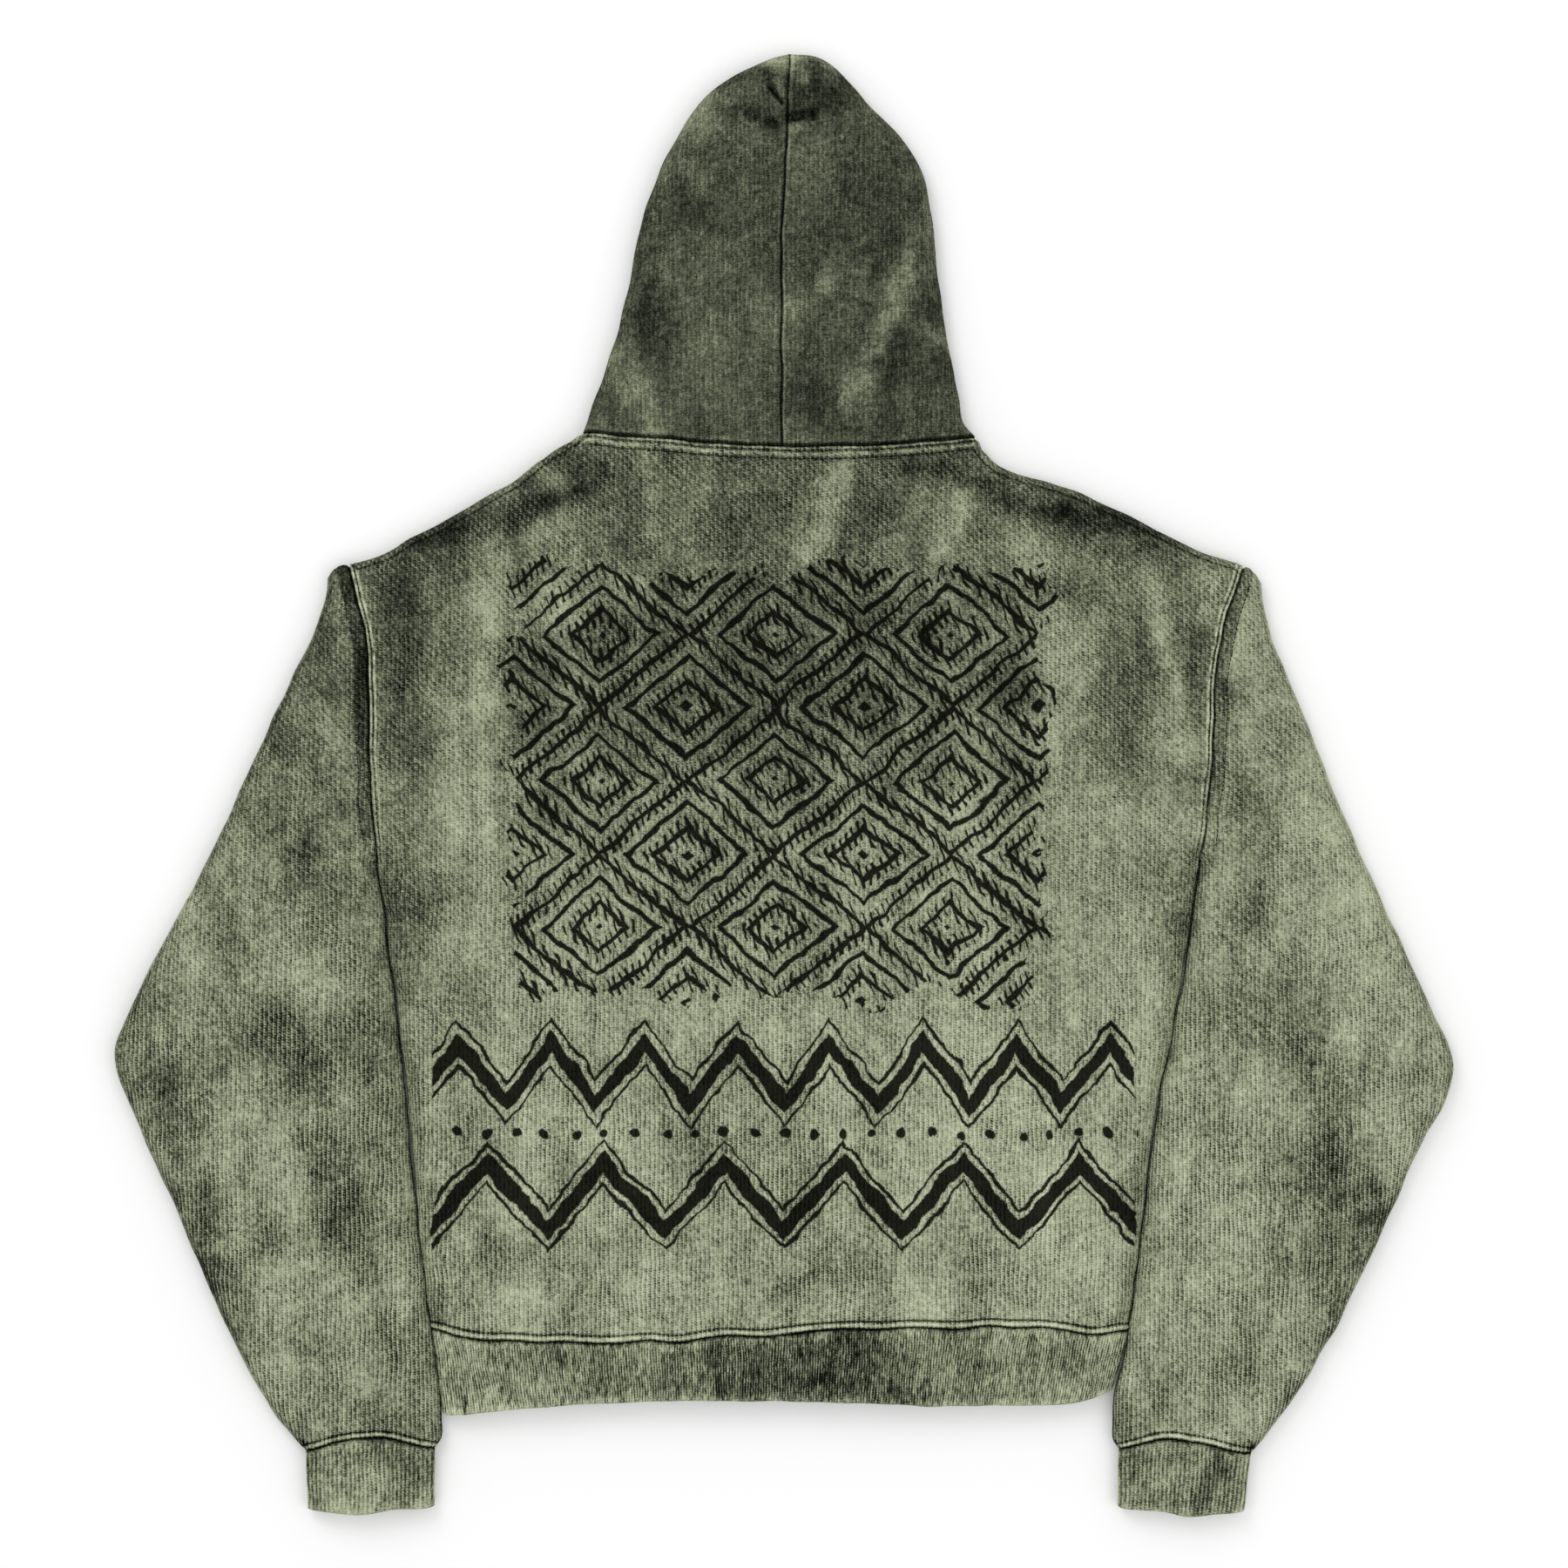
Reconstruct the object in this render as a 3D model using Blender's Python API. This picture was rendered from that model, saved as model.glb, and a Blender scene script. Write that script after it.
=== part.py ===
"""Pullover hooded sweatshirt in heavy washed fleece, laid flat on its front with the hood drawn up.

Every cloth piece is cut and sewn as on the real garment: two body panels, two sleeves, two hood
panels, a ribbed hem band, two ribbed cuffs and a front pouch pocket. Each piece is one closed
solid of the cloth's own thickness, and the garment is hollow between its layers.

Frame: X to the right across the back, Y towards the hood, Z up through the back. The front lies
on Z = 0. Lengths are in millimetres and are scaled to metres where a mesh is made.
"""

import bpy
import numpy as np

METRES = 0.001

# Cloth
FLEECE = 3.0
HOOD_CLOTH = 4.5  # shell and lining together
RIB = 4.0  # the rib is folded double
SEAM_GAP = 0.4
LAY_GAP = 1.2  # between a sleeve and the body it lies against

# How the cloth rounds over at a fold and how high the layers stand
FOLD_HEIGHT = 6.5
FOLD_RISE = 7.0
FOLD_REACH = 11.0
HOOD_FOLD_EXTRA = 1.5
LOFT_LENGTH = 55.0
BODY_LOFT = 20.0
SLEEVE_LOFT = 24.0
HOOD_LOFT = 26.0
HEM_LOFT = 6.0
CUFF_LOFT = 6.0

# Pouch pocket on the front, measured from the centre line
POCKET_CENTRE = -3.0
POCKET_HALF_WIDTH = 165.0
POCKET_TOP_HALF_WIDTH = 95.0
POCKET_TOP = -205.0
POCKET_SIDE_TOP = -325.0
POCKET_FOOT = -385.5
POCKET_ROOM = 6.4
POCKET_EASE = 30.0
POCKET_STEP = 24.0

# Outlines, left side then right side
NECK_LEFT = (-144.0, 250.5)
NECK_RIGHT = (136.0, 247.5)
BACK_NECK_LEFT = [(-97, 246), (-41, 240.5), (-1.5, 239)]
BACK_NECK_RIGHT = [(95, 242.5), (52, 239.5), (-1.5, 239)]
FRONT_NECK_LEFT = [(-126, 214), (-82, 178), (-40, 164), (-3, 160)]
FRONT_NECK_RIGHT = [(118, 212), (75, 178), (34, 164), (-3, 160)]
SHOULDER_LEFT = (-319.0, 153.5)
SHOULDER_RIGHT = (334.5, 150.5)
SLOPE_LEFT = [(-294, 161), (-263, 177), (-223, 198), (-188, 220), (-166, 237)]
SLOPE_RIGHT = [(295, 167.5), (246, 191), (199, 212.5), (162, 223), (147, 231)]
ARMPIT_LEFT = (-290.0, -56.0)
ARMPIT_RIGHT = (296.5, -56.0)
ARMHOLE_LEFT = [(-292.5, -19), (-295, 49), (-295, 90), (-301, 116)]
ARMHOLE_RIGHT = [(300.5, -19), (304.5, 24), (306.5, 77), (317, 120)]
SIDE_LEFT = [(-282, -117), (-272, -199), (-260, -321)]
SIDE_RIGHT = [(285, -135), (269, -214), (254.5, -321)]
HEM_SEAM_LEFT = (-251.5, -390.0)
HEM_SEAM_RIGHT = (246.0, -391.0)
HEM_SEAM = [(-186, -397), (-31, -393), (72, -387), (178, -387)]
HEM_FOOT_LEFT = (-243.2, -450.5)
HEM_FOOT_RIGHT = (234.3, -433.5)
HEM_FOOT = [(-191, -445.5), (-124, -440.5), (0, -439), (143, -442.5), (218, -438.5)]
SLEEVE_OUT_LEFT = [
    (-327, 130), (-352, 74), (-422, -75), (-461, -149), (-477.6, -196),
    (-461, -242), (-428, -317), (-396, -391), (-353, -463),
]
SLEEVE_OUT_RIGHT = [
    (340, 130), (360.5, 74), (422.5, -75), (456.5, -149), (477.6, -205),
    (453, -261), (419.5, -335), (381.5, -410), (347, -461),
]
SLEEVE_IN_LEFT = [(-282, -117), (-272, -199), (-260, -321), (-251, -390), (-244, -452)]
SLEEVE_IN_RIGHT = [(285, -135), (269, -214), (254.5, -321), (245.5, -391), (234, -455)]
CUFF_SEAM_LEFT = [(-343.5, -474), (-314, -467.5), (-284, -465), (-261, -470.5), (-245.5, -471.5)]
CUFF_SEAM_RIGHT = [(336, -475), (320, -475), (293, -468), (270.5, -466), (249, -470), (235, -470)]
CUFF_FOOT_LEFT = [(-340.5, -518), (-321, -519), (-301, -520.5), (-283, -517.5), (-249.5, -515.5)]
CUFF_FOOT_RIGHT = [(328, -520), (307, -520), (289, -521), (267, -518), (238, -516)]
HOOD_APEX = (4.0, 521.0)
HOOD_LEFT = [(-131, 285), (-112.5, 347), (-99, 409), (-78, 458.5), (-49, 495.5), (-22, 514)]
HOOD_RIGHT = [
    (127, 258), (125, 275), (117, 310), (110, 359), (104.5, 409), (88, 458), (54, 495), (31, 514),
]
HOOD_SEAM = [(-2, 330), (-1, 400), (3, 480)]
FOREHEAD = (3.0, 460.0)
FACE_LEFT = [(-34, 440), (-55, 388), (-58, 325), (-44, 250)]
FACE_RIGHT = [(38, 440), (56, 388), (56, 325), (40, 250)]
FACE_FOOT_HALF_GAP = 6.0

# How finely the solids are faceted
FOLD_STEPS = 3
LINE_STEPS = 12
NECK_COLUMNS = 6
SHOULDER_COLUMNS = 4
SLEEVE_COLUMNS = 6
BLEND_POWER = 4.0  # how the distances to several folds are blended

# Columns of the body panels under the two ends of the neck seam, and rows level across the panels
NECK_FOOT_LEFT = -130.0
NECK_FOOT_RIGHT = 125.0
BACK_ROWS = [-355, -300, -225, -140]
FRONT_ROWS = [-362, -330, -285, -243, -205, -178, -120]
UPPER_ROWS = [0.19, 0.38, 0.57, 0.76, 0.95, 0.985, 1.0]
SLEEVE_ROWS = [0, 0.07, 0.15, 0.23, 0.31, 0.42, 0.53, 0.63, 0.68, 0.73, 0.82, 0.91]

WASHED_OLIVE = (0.19, 0.215, 0.135, 1.0)
WASHED_OLIVE_RIB = (0.17, 0.195, 0.12, 1.0)


# ---------------------------------------------------------------- lines and surfaces in plan


def smooth_line(points):
    """A smooth line through the points: cubic spans whose slope at a point is shared by its chords."""
    knots = np.array(points, float)
    chords = np.diff(knots, axis=0)
    lengths = np.linalg.norm(chords, axis=1)[:, None]
    slopes = chords / lengths
    inner = (slopes[:-1] * lengths[1:] + slopes[1:] * lengths[:-1]) / (lengths[1:] + lengths[:-1])
    tangents = np.vstack([slopes[:1], inner, slopes[-1:]])
    t = np.linspace(0, 1, LINE_STEPS, endpoint=False)[:, None]
    spans = [
        (2 * t**3 - 3 * t**2 + 1) * knots[i]
        + (t**3 - 2 * t**2 + t) * lengths[i] * tangents[i]
        + (3 * t**2 - 2 * t**3) * knots[i + 1]
        + (t**3 - t**2) * lengths[i] * tangents[i + 1]
        for i in range(len(chords))
    ]
    return np.vstack([*spans, knots[-1:]])


def line_shares(line):
    """The share of the line's length at which each of its points lies."""
    steps = np.r_[0, np.cumsum(np.linalg.norm(np.diff(line, axis=0), axis=1))]
    return steps / max(steps[-1], 1e-9)


def along(line, shares):
    """The points at these shares of the line's length."""
    return np.stack([np.interp(shares, line_shares(line), line[:, k]) for k in (0, 1)], axis=-1)


def shifted(line, sideways):
    """The line moved to the left of its own direction."""
    run = np.gradient(line, axis=0)
    run /= np.linalg.norm(run, axis=1)[:, None]
    return line + sideways * np.stack([-run[:, 1], run[:, 0]], axis=1)


def patch(foot, head, left, right, u):
    """Points in plan of a four-sided piece: Coons's blend of its foot and head lines with its side points.

    left and right hold a point for each row. u holds each row's shares across.
    """
    v = line_shares(left) + line_shares(right)
    v = (v / 2)[:, None, None]
    along_rows = (1 - v) * along(foot, u) + v * along(head, u)
    u = u[..., None]
    across_rows = (1 - u) * left[:, None] + u * right[:, None]
    corners = (1 - v) * ((1 - u) * foot[0] + u * foot[-1]) + v * ((1 - u) * head[0] + u * head[-1])
    return along_rows + across_rows - corners


def fold_offsets():
    """Distances from a fold, in equal turns of the rounded edge, that start every row of facets."""
    turn = np.linspace(0, np.pi / 2, FOLD_STEPS + 1)
    return FOLD_REACH * (1 - np.cos(turn))


def shares_with_folds(width, count, last=True):
    """Shares from 0 to 1 across each width, close together at the folds and even between them."""
    width = np.atleast_1d(np.asarray(width, float))[:, None]
    room = np.minimum(1, width / (4 * FOLD_REACH))
    start = fold_offsets() * room / np.maximum(width, 1e-6)
    finish = (1 - start)[:, -2::-1] if last else start[:, :0]
    high = 1 - start[:, -1:] if last else np.ones_like(room)
    middle = start[:, -1:] + (high - start[:, -1:]) * np.linspace(0, 1, count)
    return np.hstack([start[:, :-1], middle, finish])


# ---------------------------------------------------------------- the garment's outlines

left_side = smooth_line([HEM_SEAM_LEFT, *SIDE_LEFT[::-1], ARMPIT_LEFT])
right_side = smooth_line([HEM_SEAM_RIGHT, *SIDE_RIGHT[::-1], ARMPIT_RIGHT])
left_armhole = smooth_line([ARMPIT_LEFT, *ARMHOLE_LEFT, SHOULDER_LEFT])
right_armhole = smooth_line([ARMPIT_RIGHT, *ARMHOLE_RIGHT, SHOULDER_RIGHT])
left_slope = smooth_line([SHOULDER_LEFT, *SLOPE_LEFT, NECK_LEFT])
right_slope = smooth_line([SHOULDER_RIGHT, *SLOPE_RIGHT, NECK_RIGHT])
hem_seam = smooth_line([HEM_SEAM_LEFT, *HEM_SEAM, HEM_SEAM_RIGHT])
hem_foot = smooth_line([HEM_FOOT_LEFT, *HEM_FOOT, HEM_FOOT_RIGHT])
left_sleeve_out = smooth_line([CUFF_SEAM_LEFT[0], *SLEEVE_OUT_LEFT[::-1], SHOULDER_LEFT])
right_sleeve_out = smooth_line([CUFF_SEAM_RIGHT[0], *SLEEVE_OUT_RIGHT[::-1], SHOULDER_RIGHT])
left_sleeve_in = smooth_line([CUFF_SEAM_LEFT[-1], *SLEEVE_IN_LEFT[::-1], ARMPIT_LEFT])
right_sleeve_in = smooth_line([CUFF_SEAM_RIGHT[-1], *SLEEVE_IN_RIGHT[::-1], ARMPIT_RIGHT])
left_hood = smooth_line([NECK_LEFT, *HOOD_LEFT, HOOD_APEX])
right_hood = smooth_line([NECK_RIGHT, *HOOD_RIGHT, HOOD_APEX])


# ---------------------------------------------------------------- height of the cloth


def distance_to(points, line):
    """Shortest distance in plan from each point to the line."""
    start, run = line[:-1], np.diff(line, axis=0)
    offset = points[..., None, :] - start
    share = np.clip((offset * run).sum(-1) / (run**2).sum(-1), 0, 1)
    return np.linalg.norm(offset - share[..., None] * run, axis=-1).min(-1)


def fold_distance(points, folds):
    """One smooth distance to several folds: nearly the shortest one, with no crease midway."""
    apart = np.maximum(np.stack([distance_to(points, fold) for fold in folds]), 1e-3)
    return (apart**-BLEND_POWER).sum(0) ** (-1 / BLEND_POWER)


def ease(value):
    """0 below 0, 1 above 1, and a smooth S between."""
    share = np.clip(value, 0, 1)
    return share * share * (3 - 2 * share)


def fold_height(y):
    """Height of the fold line itself: the lined hood's fold is thicker than the body's."""
    return FOLD_HEIGHT + HOOD_FOLD_EXTRA * ease((y - 180) / 90)


def body_loft(points):
    """How high the back stands over its folds: low at the ribbed hem, highest where the hood begins."""
    y = points[..., 1]
    return HEM_LOFT + (BODY_LOFT - HEM_LOFT) * ease((y + 392) / 100) + (HOOD_LOFT - BODY_LOFT) * ease((y - 150) / 150)


def sleeve_loft(points):
    """How high a sleeve stands over its folds: as the body at the armhole, low at the ribbed cuff."""
    y = points[..., 1]
    loft = BODY_LOFT + (SLEEVE_LOFT - BODY_LOFT) * ease((20 - y) / 200)
    return CUFF_LOFT + (loft - CUFF_LOFT) * ease((y + 470) / 120)


def pocket_lift(points):
    """How far the pouch pocket under it holds the front panel off the floor."""
    x, y = points[..., 0] - POCKET_CENTRE, points[..., 1]
    inside = np.minimum(POCKET_HALF_WIDTH - np.abs(x), POCKET_TOP - y)
    edge_lift = (FLEECE + SEAM_GAP) * ease(1 + (inside + 4) / POCKET_STEP)
    return edge_lift + POCKET_ROOM * ease((np.minimum(inside, y - POCKET_FOOT) - 4) / POCKET_EASE)


def kept_beside(points, slant, seam, thickness):
    """The plan part of the normals, turned so that the inner skin stays on its own side of a seam."""
    start, run = seam[:-1], np.diff(seam, axis=0)
    length = np.linalg.norm(run, axis=1)
    offset = points[..., None, :] - start
    share = np.clip((offset * run).sum(-1) / length**2, 0, 1)
    nearest = np.linalg.norm(offset - share[..., None] * run, axis=-1).argmin(-1)
    across = np.stack([-run[:, 1], run[:, 0]], axis=1) / length[:, None]
    side = ((points - start[nearest]) * across[nearest]).sum(-1)
    own_side = np.sign(np.median(side))
    toward = across[nearest] * own_side
    room = side * own_side
    inner = room - thickness * (slant * toward).sum(-1)
    lack = np.maximum(0, np.minimum(room, 0.2 * np.abs(room)) - inner)
    return slant - (lack / thickness)[..., None] * toward


def cloth(points, folds, loft, upper, seams, thickness, closure=0.0):
    """Outer surface and outward normals of a layer in plan: rounded at its folds, lofted between them.

    closure is the height that a panel keeps from the panel that meets it at the fold.
    """
    apart = fold_distance(points, folds)
    inward = points.reshape(-1, 2).mean(0) - points
    inward /= np.linalg.norm(inward, axis=-1, keepdims=True) + 1e-9
    probe = points + 0.8 * inward
    slope = np.stack(
        [
            fold_distance(probe + step, folds) - fold_distance(probe - step, folds)
            for step in (np.array([0.2, 0.0]), np.array([0.0, 0.2]))
        ],
        axis=-1,
    )
    slope /= np.linalg.norm(slope, axis=-1, keepdims=True) + 1e-9
    level = np.clip(1 - apart / FOLD_REACH, 0, 1)
    level[apart < 0.05] = 1.0
    steep = np.sqrt(1 - level**2)
    fold = fold_height(points[..., 1])
    if upper:
        z = fold + closure + FOLD_RISE * steep + loft * (1 - np.exp(-apart / LOFT_LENGTH)) * steep
    else:
        z = (fold - closure) * (1 - steep) + loft * steep
    slant = -level[..., None] * slope
    for seam in seams:
        slant = kept_beside(points, slant, seam, thickness)
    upright = steep if upper else -steep
    normals = np.concatenate([slant, upright[..., None]], axis=-1)
    return np.concatenate([points, z[..., None]], axis=-1), normals


# ---------------------------------------------------------------- solids


def shell(name, layers, thickness, material):
    """One closed solid from layers of outer surface: an inner skin a cloth's thickness in, and rims.

    A layer is its points, its normals and whether it faces up. Layers share the points of a fold.
    """
    points = np.vstack([layer[0].reshape(-1, 3) for layer in layers])
    normals = np.vstack([layer[1].reshape(-1, 3) for layer in layers])
    quads, start = [], 0
    for outer, _, counter_clockwise in layers:
        rows, columns = outer.shape[:2]
        index = start + np.arange(rows * columns).reshape(rows, columns)
        around = [index[:-1, :-1], index[:-1, 1:], index[1:, 1:], index[1:, :-1]]
        quads.append(np.stack(around if counter_clockwise else around[::-1], axis=-1).reshape(-1, 4))
        start += rows * columns
    _, first, same = np.unique(np.round(points, 2), axis=0, return_index=True, return_inverse=True)
    outer_faces = []
    for quad in same.reshape(-1)[np.vstack(quads)].tolist():
        corners = [c for k, c in enumerate(quad) if c != quad[k - 1]]
        if len(corners) > 2:
            outer_faces.append(corners)
    count = len(first)
    sides = {(f[k - 1], f[k]) for f in outer_faces for k in range(len(f))}
    rims = [[b, a, a + count, b + count] for a, b in sorted(sides) if (b, a) not in sides]
    inner_faces = [[c + count for c in reversed(f)] for f in outer_faces]
    skins = np.vstack([points[first], points[first] - thickness * normals[first]])
    mesh = bpy.data.meshes.new(name)
    mesh.from_pydata((skins * METRES).tolist(), [], outer_faces + inner_faces + rims)
    mesh.materials.append(material)
    mesh.shade_smooth()
    mesh.set_sharp_from_angle(angle=np.radians(50))
    obj = bpy.data.objects.new(name, mesh)
    bpy.context.scene.collection.objects.link(obj)
    return obj


def cloth_material(name, colour):
    material = bpy.data.materials.new(name)
    material.use_nodes = True
    shader = material.node_tree.nodes["Principled BSDF"]
    shader.inputs["Base Color"].default_value = colour
    shader.inputs["Roughness"].default_value = 0.95
    shader.inputs["Metallic"].default_value = 0.0
    return material


# ---------------------------------------------------------------- neck seams


def neck_half(corner, points):
    """The neck seam's vertices from a shoulder corner to the middle, shared by the hood and a body panel."""
    line = smooth_line([corner, *points])
    return along(line, shares_with_folds(150, NECK_COLUMNS, last=False)[0])


left_back_neck = neck_half(NECK_LEFT, BACK_NECK_LEFT)
right_back_neck = neck_half(NECK_RIGHT, BACK_NECK_RIGHT)
left_front_neck = neck_half(NECK_LEFT, FRONT_NECK_LEFT)
right_front_neck = neck_half(NECK_RIGHT, FRONT_NECK_RIGHT)


# ---------------------------------------------------------------- body panels


def body_folds():
    """Folds that shape the body: its own sides, the shoulders, the hood's sides and the sleeves' tops."""
    return [
        shifted(left_side, -LAY_GAP / 2),
        shifted(right_side, LAY_GAP / 2),
        left_slope,
        right_slope,
        left_hood,
        right_hood,
        left_sleeve_out,
        right_sleeve_out,
    ]


def body_plan(neck_left, neck_right, level_rows):
    """A body panel's points in plan: rows level up to the armpits, then fanned out to the shoulders."""
    left, right = shifted(left_side, -LAY_GAP / 2), shifted(right_side, LAY_GAP / 2)
    shoulder = shares_with_folds(160, SHOULDER_COLUMNS, last=False)[0][:-1]
    neck = line_shares(left_back_neck)
    middle = left_back_neck[-1, 0]
    armpit_x = np.r_[
        left[-1, 0] + (NECK_FOOT_LEFT - left[-1, 0]) * shoulder,
        NECK_FOOT_LEFT + (middle - NECK_FOOT_LEFT) * neck,
        (NECK_FOOT_RIGHT + (middle - NECK_FOOT_RIGHT) * neck)[-2::-1],
        (right[-1, 0] + (NECK_FOOT_RIGHT - right[-1, 0]) * shoulder)[::-1],
    ]
    rows = []
    for y in [HEM_SEAM_LEFT[1], *level_rows, ARMPIT_LEFT[1]]:
        x_left, x_right = (np.interp(y, side[:, 1], side[:, 0]) for side in (left, right))
        held = [NECK_FOOT_LEFT, NECK_FOOT_RIGHT]
        at_armpit = [left[-1, 0], left[-1, 0] + FOLD_REACH, *held, right[-1, 0] - FOLD_REACH, right[-1, 0]]
        at_row = [x_left, x_left + FOLD_REACH, *held, x_right - FOLD_REACH, x_right]
        x = np.interp(armpit_x, at_armpit, at_row)
        rows.append(np.stack([x, np.full(len(x), float(y))], axis=1))
    rows[0][:, 1] = np.interp(rows[0][:, 0], hem_seam[:, 0], hem_seam[:, 1]) + SEAM_GAP
    foot = rows[-1]
    slopes = [along(slope, shoulder) for slope in (left_slope, right_slope)]
    below_neck = shifted(np.vstack([neck_left, neck_right[-2::-1]]), -SEAM_GAP)
    top = np.vstack([slopes[0], below_neck, slopes[1][::-1]])
    v = np.array([0, *UPPER_ROWS])
    armholes = [along(line, v) for line in (shifted(left_armhole, -SEAM_GAP), shifted(right_armhole, SEAM_GAP))]
    u = (1 - v[:, None]) * line_shares(foot) + v[:, None] * line_shares(top)
    upper = patch(foot, top, *armholes, u)
    return np.vstack([np.stack(rows), upper[1:]])


def body_seams(plan):
    """The panel's own edges where it is sewn to the hem band, the sleeves and the hood."""
    armhole_rows = slice(-len(UPPER_ROWS) - 1, None)
    neck_columns = slice(SHOULDER_COLUMNS + FOLD_STEPS - 1, 1 - SHOULDER_COLUMNS - FOLD_STEPS)
    return [plan[0], plan[armhole_rows, 0], plan[armhole_rows, -1], plan[-1, neck_columns]]


def back_panel(material):
    plan = body_plan(left_back_neck, right_back_neck, BACK_ROWS)
    layer = cloth(plan, body_folds(), body_loft(plan), True, body_seams(plan), FLEECE, closure=SEAM_GAP / 2)
    return shell("back_panel", [(*layer, True)], FLEECE, material)


def front_panel(material):
    plan = body_plan(left_front_neck, right_front_neck, FRONT_ROWS)
    layer = cloth(plan, body_folds(), pocket_lift(plan), False, body_seams(plan), FLEECE, closure=SEAM_GAP / 2)
    return shell("front_panel", [(*layer, False)], FLEECE, material)


def pocket(material):
    """Pouch pocket: sewn down along its top, foot and lower sides, open along its two slanted edges."""
    half = [POCKET_HALF_WIDTH, POCKET_HALF_WIDTH, POCKET_TOP_HALF_WIDTH]
    rows = np.r_[POCKET_FOOT, np.linspace(POCKET_SIDE_TOP, POCKET_TOP, 4)]
    width = np.interp(rows, [POCKET_FOOT, POCKET_SIDE_TOP, POCKET_TOP], half)
    x = POCKET_CENTRE + width[:, None] * np.linspace(-1, 1, 7)
    points = np.stack([x, np.broadcast_to(rows[:, None], x.shape), np.zeros_like(x)], axis=-1)
    normals = np.broadcast_to([0.0, 0.0, -1.0], points.shape)
    return shell("pouch_pocket", [(points, normals, False)], FLEECE, material)


# ---------------------------------------------------------------- sleeves, cuffs and hem


def tube(name, plan, folds, seams, loft, thickness, faces_up, material):
    """A flattened tube: an upper layer and a layer on the floor, joined where they meet at the folds."""
    top = cloth(plan, folds, loft, True, seams, thickness)
    bottom = cloth(plan, folds, 0.0, False, seams, thickness)
    return shell(name, [(*top, faces_up), (*bottom, not faces_up)], thickness, material)


def sleeve(side, armhole, out, inn, slope, cuff_seam, material):
    """Wide sleeve from the dropped armhole down to the cuff. Returns the cuff end's points in plan."""
    outward = 1 if side == "left" else -1
    fold = shifted(inn, outward * LAY_GAP / 2)
    inner = np.vstack([along(fold, SLEEVE_ROWS), fold[-1:], along(armhole, UPPER_ROWS)])
    outer = along(out, line_shares(inner))
    width = np.linalg.norm(outer - inner, axis=1)
    foot = smooth_line(cuff_seam)
    plan = patch(foot, out[[-1, -1]], outer, inner, shares_with_folds(width, SLEEVE_COLUMNS))
    folds, seams = [out, fold, slope], [plan[0], armhole]
    tube(f"sleeve_{side}", plan, folds, seams, sleeve_loft(plan), FLEECE, side == "left", material)
    return plan[0]


def ribbed_band(name, seam, foot, rows, loft, material):
    """A ribbed band folded double, sewn into a ring and lying flat, from its seam down to its edge."""
    edge = along(smooth_line(foot), line_shares(seam))
    v = np.linspace(0, 1, rows)[:, None, None]
    plan = (1 - v) * seam + v * edge
    folds = [plan[:, 0], plan[:, -1]]
    folds = [np.vstack([2 * f[0] - f[-1], f, 2 * f[-1] - f[0]]) for f in folds]
    return tube(name, plan, folds, [seam], loft, RIB, seam[0, 0] > seam[-1, 0], material)


# ---------------------------------------------------------------- hood


def hood_panel(side, outline, back_neck, front_neck, face, material):
    """Half of the hood: up the back from the neck, over the side fold, and round to the face edge."""
    inset = np.array([-1 if side == "left" else 1, 0]) * SEAM_GAP / 2
    apex = np.array(HOOD_APEX) + inset
    outline = np.vstack([outline[:-1], apex])
    seam = smooth_line([back_neck[-1], *HOOD_SEAM, HOOD_APEX]) + inset
    back_foot = np.vstack([back_neck[:-1], seam[0]])
    last = front_neck[-2] - front_neck[-1]
    face_foot = front_neck[-1] + last * FACE_FOOT_HALF_GAP / np.linalg.norm(last)
    front_foot = np.vstack([front_neck[:-1], face_foot])
    crown = smooth_line([HOOD_APEX, FOREHEAD]) + inset
    edge = smooth_line([face_foot, *face[::-1], crown[-1]])
    rows = shares_with_folds(282, 9, last=True)[0]
    rows = np.r_[0, rows[FOLD_STEPS:-2], 1]
    folds = [left_hood, right_hood, left_slope, right_slope]
    layers = []
    for foot, head, inner, upper in ((back_foot, seam[[-1, -1]], seam, True), (front_foot, crown, edge, False)):
        sides = along(outline, rows), along(inner, rows)
        width = np.linalg.norm(sides[0] - sides[1], axis=1)
        u = shares_with_folds(width, NECK_COLUMNS, last=False)
        u[0] = line_shares(foot)
        plan = patch(foot, head, *sides, u)
        seams = [foot, seam if upper else crown]
        surface = cloth(plan, folds, body_loft(plan) if upper else 0.0, upper, seams, HOOD_CLOTH)
        layers.append((*surface, upper == (side == "left")))
    return shell(f"hood_{side}", layers, HOOD_CLOTH, material)


# ---------------------------------------------------------------- the whole garment


def main():
    for old in list(bpy.data.objects):
        bpy.data.objects.remove(old, do_unlink=True)
    fleece = cloth_material("washed_fleece", WASHED_OLIVE)
    rib = cloth_material("washed_rib", WASHED_OLIVE_RIB)
    back_panel(fleece)
    front_panel(fleece)
    pocket(fleece)
    hood_panel("left", left_hood, left_back_neck, left_front_neck, FACE_LEFT, fleece)
    hood_panel("right", right_hood, right_back_neck, right_front_neck, FACE_RIGHT, fleece)
    left = left_armhole, left_sleeve_out, left_sleeve_in, left_slope, CUFF_SEAM_LEFT
    right = right_armhole, right_sleeve_out, right_sleeve_in, right_slope, CUFF_SEAM_RIGHT
    for side, lines, cuff_foot in (("left", left, CUFF_FOOT_LEFT), ("right", right, CUFF_FOOT_RIGHT)):
        wrist = sleeve(side, *lines, fleece) - [0, SEAM_GAP]
        ribbed_band(f"cuff_{side}", wrist, cuff_foot, 3, CUFF_LOFT, rib)
    waist = body_plan(left_back_neck, right_back_neck, [])[0] - [0, SEAM_GAP]
    ribbed_band("hem_band", waist[::-1], [HEM_FOOT_RIGHT, *HEM_FOOT[::-1], HEM_FOOT_LEFT], 3, HEM_LOFT, rib)


main()
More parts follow.
